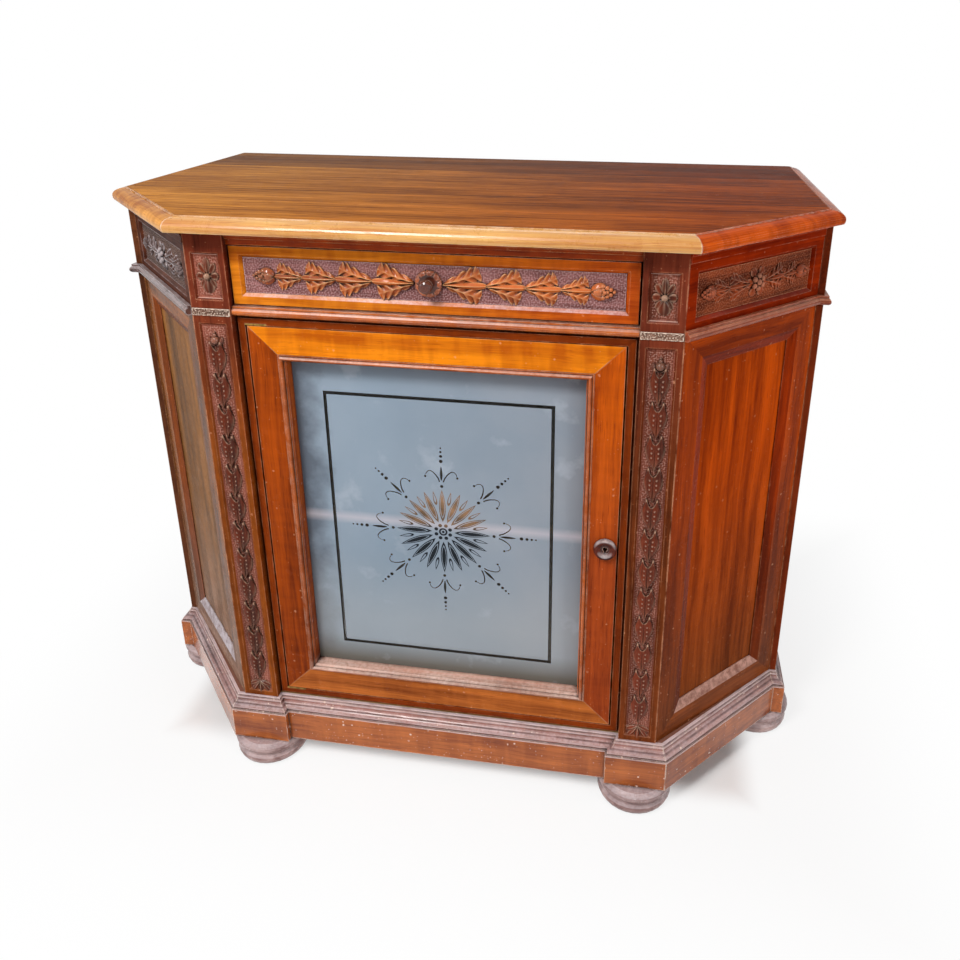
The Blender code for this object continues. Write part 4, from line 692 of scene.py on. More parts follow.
def berry_pod():
    """A bud in a cupped leaf, with a cluster of round berries at its end."""
    parts = [bead(0.0088, 0.0016, (0.0092, 0))]
    parts += [moved(leaf(0.021, 0.0058, height, fullness=0.5, bend=-0.75 * way), turn=42 * way,
                    place=(0.0005, 0.001 * way)) for way, height in ((1, 0.0088), (-1, 0.0080))]
    for ahead, height, radius, asides in ((0.0165, 0.0044, 0.0037, (-0.0080, -0.0028, 0.0030, 0.0082)),
                                          (0.0218, 0.0046, 0.0036, (-0.0058, 0, 0.0060)),
                                          (0.0268, 0.0040, 0.0034, (-0.0034, 0.0036)),
                                          (0.0186, 0.0078, 0.0032, (0.0002,)), (0.0316, 0.0032, 0.0030, (0.0002,))):
        parts += [bead(radius, height, (ahead, aside)) for aside in asides]
    return joined(parts, "berry_pod")


def flower():
    """An open flower: a boss in a ring of six round berries, with six pointed petals behind them."""
    parts = [bead(0.0052, 0.0052)]
    for angle in range(0, 360, 60):
        parts.append(bead(0.0044, 0.0048, round_about(0.0094, angle + 30)))
        petal = leaf(0.0155, 0.0066, 0.0058, fullness=0.6, hollow=0.35)
        parts.append(moved(petal, turn=angle, place=round_about(0.0085, angle)))
    return joined(parts, "flower")


TUFT = tuft()
POD = berry_pod()
FLOWER = flower()


def garland(origin, axes, half, pod_scale, tufts, body, material, berry_material, name):
    """Tufts and a berry pod set out both ways from the middle of a field, all their tips outwards."""
    along, aside, out = axes
    for way, hand in ((1, "a"), (-1, "b")):
        turned = (along * way, aside, out)
        for number, (start, scale) in enumerate(tufts, 1):
            part = moved(copied(TUFT), place=(start, 0), scale=scale)
            on_face(part, origin, turned, body, material, "%s_leaves_%s%d" % (name, hand, number))
        pod = moved(copied(POD), place=(half, 0), scale=pod_scale)
        on_face(pod, origin, turned, body, berry_material, "%s_pod_%s" % (name, hand))


# The left entries are the same walnut as the right ones, painted darker as the shade on the left side; the third
# colour of each side is the pale of its painted glints, worn edges and dusting, cool on the left and warm on the
# right.
frieze_looks = {
    "right": ((170, 50, 6), (110, 24, 3), (238, 176, 144), (166, 80, 46), (92, 36, 18), (186, 84, 40), (120, 46, 18),
              (182, 78, 32), (100, 36, 12)),
    "left": ((104, 58, 40), (54, 26, 20), (232, 222, 226), (104, 74, 60), (52, 34, 28), (110, 62, 46), (60, 30, 22),
             (84, 48, 34), (44, 23, 18)),
}
for side, hand in ((1, "right"), (-1, "left")):
    light, dark, crest, ground_light, ground_dark, bead_light, bead_dark, leaf_light, leaf_dark = frieze_looks[hand]
    same = {"turn": 45 * side, "seed": side, "dusting_and_top_light_colour": crest}
    carved = {"pale_wear_and_glint": crest, "wear": 0.2, "soil_and_shade": 1.2, "dusting_and_top_light": 0.1}
    dress(["cant_frieze_" + hand], wood("frieze_walnut_" + hand, light, dark, turn=45 * side, rings=0.2, pale_wear_and_glint=crest,
                                        wear=0.5, dusting_and_top_light=0.1, gloss=0.34, shine=0.05, seed=side))
    dress(["waist_bead_" + hand], wood("bead_walnut_" + hand, bead_light, bead_dark, rings=0.2, pale_wear_and_glint=crest,
                                       wear=0.9, dusting_and_top_light=0.5, gloss=0.2, shine=0.35, **same))
    # Carving, berries and pricked ground take painted glints on their crests and painted shade in their hollows.
    carving_wood = wood("frieze_carving_" + hand, leaf_light, leaf_dark, ridge_light=0.55, gloss=0.1, shine=0.14,
                        **carved, **same)
    berry_wood = wood("frieze_berry_" + hand, leaf_light, leaf_dark, ridge_light=0.12, gloss=0.08, shine=0.22,
                      **carved, **same)
    prick_crest = [0.6 * high + 0.4 * low for high, low in zip(crest, ground_light)]
    ground_wood = wood("frieze_ground_" + hand, ground_light, ground_dark, pale_wear_and_glint=prick_crest, wear=0.0, soil_and_shade=0.7,
                       dusting_and_top_light=0.1, streak=0.3, ridge_light=1.0, gloss=0.3, shine=0.08, **same)
    diagonal = Vector((side, 1, 0)).normalized()
    corner = Vector((side * CANT_CORNER[0], CANT_CORNER[1], FRIEZE_MIDDLE))
    for wall, middle, along, out, width, seed, half, pod_scale, tufts in (
            ("cant", corner + diagonal * CANT_WIDTH / 2, diagonal, Vector((side, -1, 0)).normalized(), 0.249, 11,
             0.090, 0.85, ((0.017, 0.78), (0.056, 0.66))),
            ("side", Vector((side * BODY_X, SIDE_MIDDLE, FRIEZE_MIDDLE)), Vector((0, 1, 0)), Vector((side, 0, 0)),
             0.372, 12, 0.146, 0.95, ((0.017, 0.84), (0.061, 0.80), (0.105, 0.74)))):
        field, axes, name = middle - out * CARVED_DEPTH, (along, UP, out), wall + "_carving_" + hand
        on_face(pricked_ground(width, FRIEZE_HEIGHT, seed), field, axes, "carcass", ground_wood,
                wall + "_ground_" + hand)
        on_face(copied(FLOWER), field, axes, "carcass", carving_wood, name + "_flower")
        garland(field, axes, half, pod_scale, tufts, "carcass", carving_wood, berry_wood, name)


# Pilasters
# Corner posts with a flower in a short field over a long drop of husks, and a rough band where a bead is lost.
# They are solid walnut, and the fields are sunk into their faces and carved in place.
HUSK_PITCH = 0.0529
HUSK_TOP = 0.794
HUSK_LENGTH = 0.0480
HUSK_HALF = 0.0142
HUSKS = 12
FIELD_WIDTH = 0.034
LONG_FIELD = (0.142, 0.829)
LONG_SINK = 0.0045
LONG_RISE = 0.0030
SHORT_RISE = 0.0026
PILASTER_X = 0.335
PILASTER_FACE = -0.297
BAND_SIZE = (0.060, 0.0112)
BAND_MIDDLE = 0.8520
LUMP = 0.0016
LUMP_COLUMNS, LUMP_ROWS = 97, 31
FORWARD = Vector((0, -1, 0))
ACROSS = Vector((1, 0, 0))
UPRIGHT = (ACROSS, UP, FORWARD)


def husk():
    """A bellflower husk, point downwards: two rounded lobes that end in ears, and dots down their fronts."""
    stations = (0.0, 0.12, 0.28, 0.45, 0.60, 0.74, 0.86, 1.0)
    widths = (0.88, 0.98, 1.0, 0.90, 0.72, 0.44, 0.20, 0.02)

    def shape(u, v):
        side = np.abs(v)
        y = HUSK_HALF * np.interp(u, stations, widths) * v
        mouth = 0.0050 * side ** 8 - 0.0110 * np.exp(-((side - 0.64) / 0.17) ** 2)
        mouth = mouth + 0.0055 * np.exp(-(side / 0.30) ** 2)
        x = u * HUSK_LENGTH + mouth * (1 - u) ** 2.6
        lobe = np.sqrt(np.maximum(1 - ((side - 0.52) / 0.55) ** 2, 0))
        z = LEAF_EDGE * (1 - 0.5 * side ** 4) + 0.0042 * lobe * (0.75 + 0.25 * np.sin(np.pi * np.clip(u * 1.2, 0, 1)))
        z += 0.0026 * np.exp(-((side - 0.64) / 0.15) ** 2) * np.exp(-(u / 0.09) ** 2)
        for height, share in ((0.20, 1.0), (0.36, 0.9), (0.52, 0.7)):
            off = np.hypot(x - height * HUSK_LENGTH, np.abs(y) - 0.0050)
            z += 0.0022 * share * np.exp(-(off / 0.0012) ** 2)
        return x, y, z

    return carved_sheet(44, 32, shape)


def drop():
    """The whole drop: a line of husks and a fan of leaves at the foot."""
    first = husk()
    parts = [first] + [moved(copied(first), place=(HUSK_PITCH * number, 0)) for number in range(1, HUSKS)]
    for turn, length in ((-62, 0.022), (-33, 0.030), (0, 0.034), (33, 0.030), (62, 0.022)):
        parts.append(moved(leaf(length, 0.0046, 0.0050, fullness=0.8), turn=turn,
                           place=(HUSKS * HUSK_PITCH + 0.001, 0)))
    return joined(parts, "drop")


def drop_bud():
    """The round bud at the head of the drop, in two curling leaves."""
    parts = [bead(radius, height, (ahead, 0)) for radius, height, ahead in (
        (0.0068, 0.0030, -0.0125), (0.0032, 0.0036, -0.0205), (0.0020, 0.0034, -0.0250))]
    parts += [moved(leaf(0.018, 0.0036, 0.0056, bend=0.9 * way), turn=180 - 60 * way, place=(-0.003, 0.001 * way))
              for way in (1, -1)]
    return joined(parts, "drop_bud")


def corner_flower():
    """An open flower: hollow almond petals sideways and upwards from a boss, and a broad plain leaf below."""
    parts = [bead(0.0048, 0.0048)]
    for turn, length, half, height, bend, hollow in (
            (0, 0.0135, 0.0056, 0.0058, 0.0, 0.5), (180, 0.0135, 0.0056, 0.0058, 0.0, 0.5),
            (90, 0.0235, 0.0046, 0.0064, 0.0, 0.2), (52, 0.0190, 0.0044, 0.0054, 0.25, 0.45),
            (128, 0.0190, 0.0044, 0.0054, -0.25, 0.45), (-90, 0.0225, 0.0088, 0.0052, 0.0, 0.0),
            (-48, 0.0165, 0.0038, 0.0046, -0.5, 0.3), (-132, 0.0165, 0.0038, 0.0046, 0.5, 0.3)):
        petal = leaf(length, half, height, bend=bend, fullness=0.6, rib=0.1, hollow=hollow)
        parts.append(moved(petal, turn=turn, place=round_about(0.004, turn)))
    return joined(parts, "corner_flower")


def torn_band(width, height, seed):
    """A strip of bare, crumbled wood and glue."""
    lumps = np.random.default_rng(seed).random((LUMP_COLUMNS, LUMP_ROWS))

    def shape(u, v):
        x, y = width * (u - 0.5), height * v / 2
        column = np.floor((x + width / 2) / LUMP).astype(int) % LUMP_COLUMNS
        row = np.floor((y + height / 2) / LUMP).astype(int) % LUMP_ROWS
        return x, y, GROUND_PLATE + LUMP * lumps[column, row] ** 1.5

    return carved_sheet(round(width / GROUND_STEP), round(height / GROUND_STEP), shape)


DROP = drop()
BUD = drop_bud()
CORNER_FLOWER = corner_flower()
# The carving, berries, pricked ground and bare band take painted glints on their crests and painted shade in their
# hollows.
pilaster_carving = wood("pilaster_carving", (124, 46, 15), (68, 24, 8), along="up", pale_wear_and_glint=(250, 208, 176), wear=0.2,
                        soil_and_shade=1.0, dusting_and_top_light=0.05, ridge_light=0.42, gloss=0.1, shine=0.25, seed=0.3)
pilaster_berry = wood("pilaster_berry", (128, 60, 34), (76, 30, 16), along="up", pale_wear_and_glint=(250, 208, 176), wear=0.2,
                      soil_and_shade=1.2, dusting_and_top_light=0.05, ridge_light=0.1, gloss=0.08, shine=0.4, seed=0.35)
pilaster_ground = wood("pilaster_ground", (166, 98, 80), (98, 48, 34), along="up", pale_wear_and_glint=(230, 190, 174), wear=0.0,
                       soil_and_shade=0.7, dusting_and_top_light=0.1, ridge_light=0.9, gloss=0.25, shine=0.12, seed=0.4)
bare_wood = wood("bare_wood", (172, 130, 110), (76, 46, 34), pale_wear_and_glint=(232, 212, 194), wear=0.2, soil_and_shade=0.9, ridge_light=1.1,
                 gloss=0.5)
block_tone = ((126, 56, 36), (80, 31, 19), "Z", 0.60, 0.865)
for side, hand, light, dark in ((1, "right", (130, 62, 26), (80, 34, 12)), (-1, "left", (152, 78, 26), (96, 43, 12))):
    dress(["pilaster_" + hand], wood("pilaster_walnut_" + hand, light, dark, along="up", rings=0.2,
                                     pale_wear_and_glint=(216, 150, 112), wear=0.8, dusting_and_top_light=0.1, chips=0.9, gloss=0.26, shine=0.1,
                                     seed=0.15, far=block_tone))
    post = side * PILASTER_X
    short_place = Vector((post, PILASTER_FACE + CARVED_DEPTH, FRIEZE_MIDDLE))
    long_place = Vector((post, PILASTER_FACE + LONG_SINK, sum(LONG_FIELD) / 2))
    head = Vector((post, PILASTER_FACE + LONG_SINK, HUSK_TOP))
    hanging = (-UP, ACROSS, FORWARD)
    for part, place, axes, material, name in (
            (pricked_ground(FIELD_WIDTH, FRIEZE_HEIGHT, 21, SHORT_RISE, 1.2), short_place, UPRIGHT, pilaster_ground,
             "pilaster_ground_"),
            (copied(CORNER_FLOWER), short_place, UPRIGHT, pilaster_carving, "pilaster_flower_"),
            (pricked_ground(FIELD_WIDTH, LONG_FIELD[1] - LONG_FIELD[0], 22, LONG_RISE, 0.9), long_place, UPRIGHT,
             pilaster_ground, "drop_ground_"),
            (copied(DROP), head, hanging, pilaster_carving, "husk_drop_"),
            (copied(BUD), head, hanging, pilaster_berry, "husk_bud_"),
            (torn_band(*BAND_SIZE, 23), Vector((post, PILASTER_FACE, BAND_MIDDLE)), UPRIGHT, bare_wood,
             "torn_band_")):
        on_face(part, place, axes, "carcass", material, name + hand)


# Rails and surround
# Orange polished rails over and under the drawer, and the mitred slip frame round the door.
# All are solid walnut, fixed between the posts, and the frame is cut for the door's pivots and the bolt.
DOOR_MIDDLE = (0, 0.486)
dress(["frieze_rail"], wood("rail_walnut", (184, 72, 10), (128, 42, 5), rings=0.2, curl=0.3, pale_wear_and_glint=(240, 180, 120),
                            soil_and_shade=0.7, dusting_and_top_light=0.1, gloss=0.2, shine=0.2, seed=0.4))
# The divider's pale dusting along the top of its bead is partly a painted highlight.
dress(["drawer_divider"], wood("divider_walnut", (206, 104, 20), (146, 60, 8), rings=0.2, curl=0.3,
                               pale_wear_and_glint=(244, 206, 176), wear=0.9, soil_and_shade=0.9, dusting_and_top_light=0.5, dusting_and_top_light_colour=(240, 216, 206),
                               gloss=0.16, shine=0.35, seed=0.45))
dress(["door_surround"], wood("slip_walnut", (150, 62, 10), (98, 34, 5), along="mitred", middle=DOOR_MIDDLE,
                              half=(0.304, 0.359), rings=0.2, pale_wear_and_glint=(226, 160, 120), soil_and_shade=0.8, chips=0.4, gloss=0.26,
                              seed=0.7))


# Top
# Boards joined edge to edge in figured walnut, the rear one darker, with a mitred moulding round three sides.
# The moulding is glued to the edges and breaks round the canted corners.
REAR_BOARD = 0.165
FRONT_BOARD = -0.085
# The top drifts from golden at the left to darker red-brown at the right: partly the boards' own tone, partly a
# painted sheen on the left.
top_wood = wood("top_walnut", (214, 142, 56), (148, 88, 28), streak=0.8, rings=0.5, curl=0.04, fine=0.9, pores=1.2,
                pale_wear_and_glint=(226, 176, 120), wear=0.4, soil_and_shade=0.3, chips=0.2, gloss=0.2, shine=0.02,
                far=((186, 84, 12), (108, 42, 5), "X", -0.4, 0.4))
tree, paint, shown = painted(top_wood)
deep = lie(tree)[1]["Y"]
shown = blend_colour(tree, spread(tree, deep, REAR_BOARD, REAR_BOARD + 0.002, 0, 0.95), shown, tone(176, 166, 168),
                     "MULTIPLY")
for seam in (REAR_BOARD, FRONT_BOARD):
    shown = blend_colour(tree, spread(tree, distance(tree, deep, seam), 0.0026, 0.0010, 0, 0.75), shown,
                         tone(58, 26, 10))
feed(tree, paint, shown)
dress(["top_board"], top_wood)
# The front length is painted paler than the rest: partly its golden colour, partly the painted highlight along its
# nose.
for where, turn, light, dark, wear, curl, gloss, shine in (
        ("front", 0, (242, 190, 110), (192, 124, 58), 0.9, 0.1, 0.28, 0.5),
        ("cant_left", -45, (224, 156, 70), (160, 92, 30), 0.9, 0.8, 0.2, 0.08),
        ("cant_right", 45, (232, 98, 22), (160, 56, 8), 0.9, 0.8, 0.2, 0.08),
        ("side_left", 90, (206, 130, 50), (140, 74, 20), 0.3, 0.8, 0.2, 0.08),
        ("side_right", 90, (206, 100, 30), (142, 56, 12), 0.3, 0.8, 0.2, 0.08)):
    dress(["top_moulding_" + where], wood("edge_walnut_" + where, light, dark, turn=turn, rings=0.5, curl=curl,
                                          pale_wear_and_glint=(255, 228, 204), wear=wear, soil_and_shade=0.5, chips=0.1, gloss=gloss,
                                          shine=shine))


# Drawer
# A thick front with a sunk field, pricked all over, and a garland of leaves either side of the turned knob.
# It is dovetailed to a pine box that runs on the guides.
DRAWER_FIELD = Vector((0, -0.281, 0.9085))
# The heavy pale dusting on the drawer's upward faces is partly real and partly the painted highlight along the lower
# ledge of its field.
drawer_wood = wood("drawer_walnut", (230, 136, 26), (172, 82, 9), rings=0.25, curl=0.35, pale_wear_and_glint=(244, 190, 140),
                   wear=0.35, soil_and_shade=1.0, dusting_and_top_light=0.7, dusting_and_top_light_colour=(244, 220, 220), gloss=0.2, shine=0.1, seed=0.22,
                   far=((214, 96, 16), (156, 56, 6), "X", -0.1, 0.25))
dress(["drawer_front"], drawer_wood)
turned_wood = wood("turned_walnut", (104, 48, 30), (46, 19, 12), pale_wear_and_glint=(214, 170, 150), wear=1.1, soil_and_shade=0.9,
                   gloss=0.08, shine=0.5)
dress(["drawer_knob", "escutcheon"], turned_wood)
# Carving, berries, pricked ground and rosette take painted glints on their crests and painted shade in their hollows.
drawer_carving = wood("drawer_carving", (202, 100, 34), (134, 54, 13), pale_wear_and_glint=(250, 196, 138), wear=0.3, soil_and_shade=1.4,
                      dusting_and_top_light=0.1, dusting_and_top_light_colour=(240, 206, 180), ridge_light=0.65, gloss=0.12, shine=0.3, seed=0.5)
drawer_berry = wood("drawer_berry", (190, 92, 34), (122, 46, 14), pale_wear_and_glint=(252, 212, 160), wear=0.2, soil_and_shade=1.4,
                    dusting_and_top_light=0.1, dusting_and_top_light_colour=(240, 206, 180), ridge_light=0.1, gloss=0.1, shine=0.4, seed=0.5)
drawer_ground = wood("drawer_ground", (164, 112, 110), (104, 62, 60), streak=0.3, pores=0.2, pale_wear_and_glint=(214, 184, 184),
                     wear=0.0, dusting_and_top_light=0.1, ridge_light=0.9, gloss=0.35, shine=0.15, seed=0.6)
rosette_wood = wood("rosette_walnut", (176, 90, 50), (108, 46, 24), pale_wear_and_glint=(240, 200, 176), wear=0.3, soil_and_shade=1.0,
                    ridge_light=0.3, gloss=0.14, shine=0.4, seed=0.8)
on_face(pricked_ground(0.563, 0.053, 31), DRAWER_FIELD, UPRIGHT, "drawer", drawer_ground,
        "drawer_ground")
garland(DRAWER_FIELD, UPRIGHT, 0.234, 1.0, ((0.021, 1.06), (0.083, 0.98), (0.138, 0.91), (0.189, 0.78)),
        "drawer", drawer_carving, drawer_berry, "drawer_garland")
petals = [moved(leaf(0.0125, 0.0062, 0.0115, fullness=0.9, tail=0.4, rib=0.0, hollow=0.3), turn=angle,
                place=round_about(0.0075, angle)) for angle in range(0, 360, 40)]
on_face(joined(petals, "rosette"), DRAWER_FIELD, UPRIGHT, "drawer", rosette_wood, "drawer_rosette")


# Door
# Mitred stiles and rails with a planted moulding that holds the pane from the front.
# Solid walnut, each member with the grain along its own length, hung on brass centre pivots.
for seed, name, along, light, dark, curl, far in (
        (0, "rail_top", "width", (244, 140, 16), (184, 86, 6), 0.45, None),
        (0.31, "rail_bottom", "width", (196, 108, 44), (120, 54, 16), 0.2, None),
        (0.62, "stile_left", "up", (176, 74, 6), (100, 34, 2), 0.15, None),
        (0.93, "stile_right", "up", (222, 100, 8), (146, 54, 3), 0.15,
         ((176, 74, 24), (112, 38, 9), "Z", 0.74, 0.46))):
    dress(["door_" + name], wood("door_%s_walnut" % name, light, dark, along=along, rings=0.4, curl=curl,
                                 pale_wear_and_glint=(240, 184, 140), wear=0.5, soil_and_shade=0.8, dusting_and_top_light=0.25, chips=0.5, gloss=0.22,
                                 shine=0.14, seed=seed, far=far))
# The moulding's bottom member is paler and mauve with a heavy dusting: partly real dusting, partly a painted sheen
# along it.
dress(["door_moulding"], wood(
    "moulding_walnut", (204, 140, 116), (112, 66, 50), along="mitred", middle=DOOR_MIDDLE, half=(0.2424, 0.2998),
    rings=0.2, pale_wear_and_glint=(246, 206, 180), soil_and_shade=1.3, dusting_and_top_light=0.6, dusting_and_top_light_colour=(246, 222, 210), gloss=0.12, shine=0.2,
    far=((196, 92, 20), (118, 46, 6), "Z", 0.205, 0.212)))


# Pane
# Clear sheet glass with an acid-frosted skin on its front, left clear where the drawing was masked.
# The drawing is a line near the edge and a flower in the middle with eight sprigs round it.
PANE_FRONT = -0.263
FROST = 0.00018
FROST_GAP = 0.00002
SIGHT_HALF, SIGHT_LOW, SIGHT_HIGH = 0.2308, 0.1989, 0.7731
BORDER_HALF, BORDER_LOW, BORDER_HIGH = 0.181, 0.242, 0.717
BORDER_LINE = 0.0055
STAR = Vector((0.003, 0.481))
INSIDE_VIEW_PAINT = 0.00006
INSIDE_VIEW_PAINT_GAP = 0.00001
SHELF_GLOW = 0.494
TENDRIL = ((0.0925, 0.0031), (0.0985, 0.0052), (0.104, 0.0085), (0.109, 0.0128), (0.1118, 0.0172), (0.1112, 0.0215),
           (0.1078, 0.0245), (0.1040, 0.0255))

sheet, tree, shader = new_material("pane_clear")
for label, value in (("Base Color", tone(150, 160, 160)), ("Roughness", 0.05), ("IOR", 1.45),
                     ("Transmission Weight", 1.0), ("Alpha", 0.4)):
    shader.inputs[label].default_value = value
dress(["door_glass"], sheet)

drawing = bpy.data.curves.new("frost", "CURVE")
drawing.dimensions = "2D"
drawing.fill_mode = "BOTH"
drawing.extrude = FROST / 2


def loop(points):
    """One closed line of the drawing."""
    line = drawing.splines.new("POLY")
    line.points.add(len(points) - 1)
    for spot, (x, y) in zip(line.points, points):
        spot.co = (x, y, 0, 1)
    line.use_cyclic_u = True


def at(angle, ahead, aside=0.0):
    """A point of the star, ahead along a ray and aside from it."""
    direction = Vector((math.cos(angle), math.sin(angle)))
    across = Vector((-direction.y, direction.x))
    return tuple(STAR + direction * ahead + across * aside)


def dot(angle, ahead, radius, aside=0.0, count=12):
    """A round dot."""
    steps = [2 * math.pi * k / count for k in range(count)]
    loop([at(angle, ahead + radius * math.cos(step), aside + radius * math.sin(step)) for step in steps])


def petal(angle, start, end, half, blunt=0.62):
    """Outline of a pointed petal."""
    steps = 9
    spots = [(start + (end - start) * k / steps, half * math.sin(math.pi * (k / steps) ** blunt) ** 0.9)
             for k in range(steps + 1)]
    sides = [at(angle, ahead, aside) for ahead, aside in spots]
    sides += [at(angle, ahead, -aside) for ahead, aside in reversed(spots[1:-1])]
    loop(sides)


def ribbon(angle, way, path, width):
    """A curling line of the given width that thins towards its end."""
    near, away = [], []
    for k, (ahead, aside) in enumerate(path):
        before = Vector(path[max(k - 1, 0)])
        after = Vector(path[min(k + 1, len(path) - 1)])
        run = (after - before).normalized()
        half = width / 2 * (1 - 0.55 * k / (len(path) - 1))
        near.append(at(angle, ahead - run.y * half, way * (aside + run.x * half)))
        away.append(at(angle, ahead + run.y * half, way * (aside - run.x * half)))
    loop(near + away[::-1])


for half, low, high in ((SIGHT_HALF, SIGHT_LOW, SIGHT_HIGH),
                        (BORDER_HALF + BORDER_LINE / 2, BORDER_LOW - BORDER_LINE / 2, BORDER_HIGH + BORDER_LINE / 2),
                        (BORDER_HALF - BORDER_LINE / 2, BORDER_LOW + BORDER_LINE / 2, BORDER_HIGH - BORDER_LINE / 2)):
    loop([(-half, low), (half, low), (half, high), (-half, high)])
for radius, count in ((0.0072, 24), (0.0042, 20), (0.0024, 16)):
    dot(0, 0, radius, count=count)
for number in range(8):
    ray = math.radians(45 * number)
    dot(ray + math.radians(22.5), 0.0125, 0.0033)
    dot(ray, 0.0845, 0.0026)
    petal(ray, 0.0938, 0.121, 0.0021, 0.9)
    for way in (1, -1):
        ribbon(ray, way, TENDRIL, 0.0022)
        dot(ray, 0.1012, 0.0019, way * 0.0262)
    for ahead, radius in ((0.1295, 0.0030), (0.1385, 0.0025), (0.1462, 0.0019), (0.1530, 0.0014)):
        dot(ray, ahead, radius)
for number in range(16):
    ray = math.radians(22.5 * number)
    for start, end, half in ((0.0185, 0.0785, 0.0056), (0.0250, 0.0735, 0.0041), (0.0275, 0.0710, 0.0033)):
        petal(ray, start, end, half, 0.85)
    petal(ray + math.radians(11.25), 0.0500, 0.0765, 0.0030)
    petal(ray + math.radians(11.25), 0.0550, 0.0725, 0.0015)

frost = bpy.data.objects.new("frosted_skin", drawing)
scene.collection.objects.link(frost)
select_only(frost)
bpy.ops.object.convert(target="MESH")
frost = bpy.context.object
start_edit()
bpy.ops.mesh.remove_doubles(threshold=0.00001)
end_edit()

skin, tree, shader = new_material("pane_frosted")
where, parts = lie(tree)
smear = noise(tree, where, 5.0, 4.0, 0.55)
wipe = noise(tree, where, 14.0, 4.0, 0.6)
from_left = total(tree, parts["X"], SIGHT_HALF, spread(tree, wipe, 0.3, 0.7, -0.03, 0.03))
from_right = figure(tree, "SUBTRACT", SIGHT_HALF, parts["X"])
from_low = figure(tree, "SUBTRACT", parts["Z"], SIGHT_LOW)
from_high = figure(tree, "SUBTRACT", SIGHT_HIGH, parts["Z"])
# The frost is painted darker along its left, right and top edges as the shade of the frame and moulding in front of
# it, with a painted brown reflection of the bottom moulding along its foot and a painted pale glow at SHELF_GLOW,
# where the shelf stands behind; the cloudy smears and wipes vary it at random.
cloud = blend_colour(tree, spread(tree, parts["X"], -0.10, 0.20), tone(152, 168, 184), tone(162, 167, 176))
for source, none, full, most, overlay in (
        (smear, 0.35, 0.65, 0.4, (118, 140, 160)), (from_left, 0.055, 0.005, 0.75, (78, 86, 98)),
        (from_right, 0.03, 0.0, 0.4, (96, 104, 112)), (from_low, 0.24, 0.10, 0.45, (178, 182, 184)),
        (from_low, 0.055, 0.008, 0.85, (104, 98, 84)), (from_high, 0.035, 0.0, 0.55, (84, 82, 88)),
        (wipe, 0.62, 0.72, 0.35, (196, 204, 214)),
        (distance(tree, parts["Z"], SHELF_GLOW), 0.013, 0.0, 0.5, (226, 214, 220))):
    cloud = blend_colour(tree, spread(tree, source, none, full, 0, most), cloud, tone(*overlay))
feed(tree, shader.inputs["Base Color"], cloud)
feed(tree, shader.inputs["Roughness"], spread(tree, wipe, 0.3, 0.7, 0.42, 0.58))
shader.inputs["Transmission Weight"].default_value = 0.15
shader.inputs["Specular IOR Level"].default_value = 0.2
on_face(frost, Vector((0, PANE_FRONT - FROST_GAP - FROST / 2, 0)), UPRIGHT, "door", skin,
        "frosted_skin")

# A painted backing behind the flower: lit brown wood above the shelf's height and near-black painted shade below it,
# standing for the inside seen through the clear lines; it shows only from the front.
bpy.ops.object.select_all(action="DESELECT")
bpy.ops.mesh.primitive_circle_add(vertices=64, radius=0.0815, fill_type="NGON", location=(*STAR, 0))
inside_view_disc = bpy.context.object
start_edit()
bpy.ops.mesh.extrude_region_move(TRANSFORM_OT_translate={"value": (0, 0, INSIDE_VIEW_PAINT)})
end_edit()
bpy.ops.object.transform_apply(location=True, rotation=True, scale=True)
inside_view_paint, tree, shader = new_material("pane_inside_view_paint")
where, parts = lie(tree)
lit_inside_colour = blend_colour(tree, spread(tree, noise(tree, where, 60.0, 3.0), 0.35, 0.65), tone(104, 82, 62),
                     tone(158, 122, 92))
above = spread(tree, parts["Z"], 0.486, 0.498)
feed(tree, shader.inputs["Base Color"], blend_colour(tree, above, tone(30, 34, 40), lit_inside_colour))
own_normal = add(tree, "SeparateXYZ", Vector=add(tree, "TexCoord").outputs["Normal"]).outputs
seen = figure(tree, "SUBTRACT", spread(tree, own_normal["Y"], 0.1, -0.1),
              add(tree, "NewGeometry").outputs["Backfacing"], clamp=True)
feed(tree, shader.inputs["Alpha"], seen)
shader.inputs["Roughness"].default_value = 0.3
shader.inputs["IOR"].default_value = 1.2
on_face(inside_view_disc, Vector((0, PANE_FRONT - INSIDE_VIEW_PAINT_GAP, 0)), UPRIGHT, "door", inside_view_paint, "flower_inside_view_disc")


# Escutcheon
# A turned ring of dark wood, dished in the middle and glued round the keyhole.
# It is stained nearly black and polished, and the pale on its upward slopes is a painted highlight laid on as
# dusting.
ESCUTCHEON_OUTLINE = ((0.0072, 0.0), (0.0072, 0.0043), (0.0090, 0.0047), (0.0106, 0.0058), (0.0122, 0.0074),
                      (0.0140, 0.0081), (0.0158, 0.0077), (0.0172, 0.0062), (0.0179, 0.0040), (0.0179, 0.0))


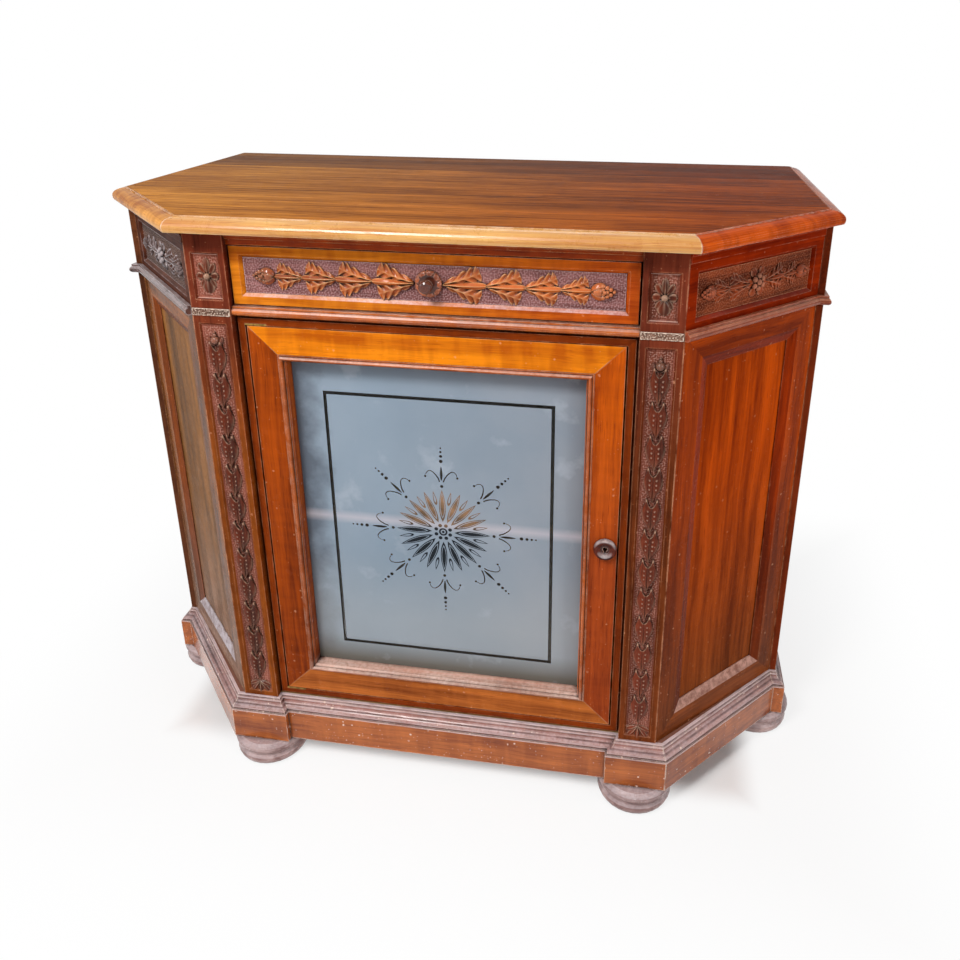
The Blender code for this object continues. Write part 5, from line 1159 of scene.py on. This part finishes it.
def turned_ring(outline):
    """A ring turned on the lathe, its outline given as radius and height."""
    bpy.ops.object.select_all(action="DESELECT")
    bpy.ops.mesh.primitive_circle_add(vertices=48, radius=outline[0][0])
    made = bpy.context.object
    start_edit()
    for (near, low), (far, high) in zip(outline, outline[1:]):
        bpy.ops.mesh.extrude_edges_move()
        bpy.ops.transform.resize(value=(far / near, far / near, 1), center_override=(0, 0, 0))
        bpy.ops.transform.translate(value=(0, 0, high - low))
    bpy.ops.mesh.select_all(action="SELECT")
    bpy.ops.mesh.region_to_loop()
    bpy.ops.mesh.bridge_edge_loops()
    end_edit()
    bpy.ops.object.shade_smooth_by_angle(angle=math.radians(50))
    return made


# Painted highlight: the heavy pale dusting on the ring's upward slopes stands for the light on its rim and dish.
ring_wood = wood("ring_walnut", (124, 44, 20), (62, 20, 9), pale_wear_and_glint=(226, 196, 186), wear=0.03, soil_and_shade=1.0,
                 dusting_and_top_light_colour=(246, 236, 236), dusting_and_top_light=1.0, chips=0.1, gloss=0.05, shine=0.2)
key_low, key_high = (Vector(corner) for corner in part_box("escutcheon"))
key_place = (key_low + key_high) / 2
key_place.y = key_high.y
on_face(turned_ring(ESCUTCHEON_OUTLINE), key_place, UPRIGHT, "door", ring_wood, "escutcheon_ring")


# Lock and pivots
# Iron case let into the back of the stile, its bolt and the centre pivots in old brass.
# The pivots stand in the head and foot of the hinge stile and turn in the surround.
def metal(name, colour, roughness):
    """An old metal with tarnish in patches."""
    made, tree, shader = new_material(name)
    patch = noise(tree, add(tree, "TexCoord").outputs["Object"], 140.0, 5.0, 0.6)
    dark = (*(channel * 0.35 for channel in tone(*colour)[:3]), 1)
    feed(tree, shader.inputs["Base Color"], blend_colour(tree, spread(tree, patch, 0.35, 0.65), dark, tone(*colour)))
    feed(tree, shader.inputs["Roughness"], spread(tree, patch, 0.3, 0.7, roughness + 0.2, roughness))
    shader.inputs["Metallic"].default_value = 1.0
    return made


dress(["lock_case"], metal("old_iron", (96, 90, 86), 0.45))
dress(["lock_bolt", "door_pivot_top", "door_pivot_bottom"], metal("old_brass", (196, 158, 88), 0.35))

for pattern in (TUFT, POD, FLOWER, DROP, BUD, CORNER_FLOWER):
    bpy.data.objects.remove(pattern)
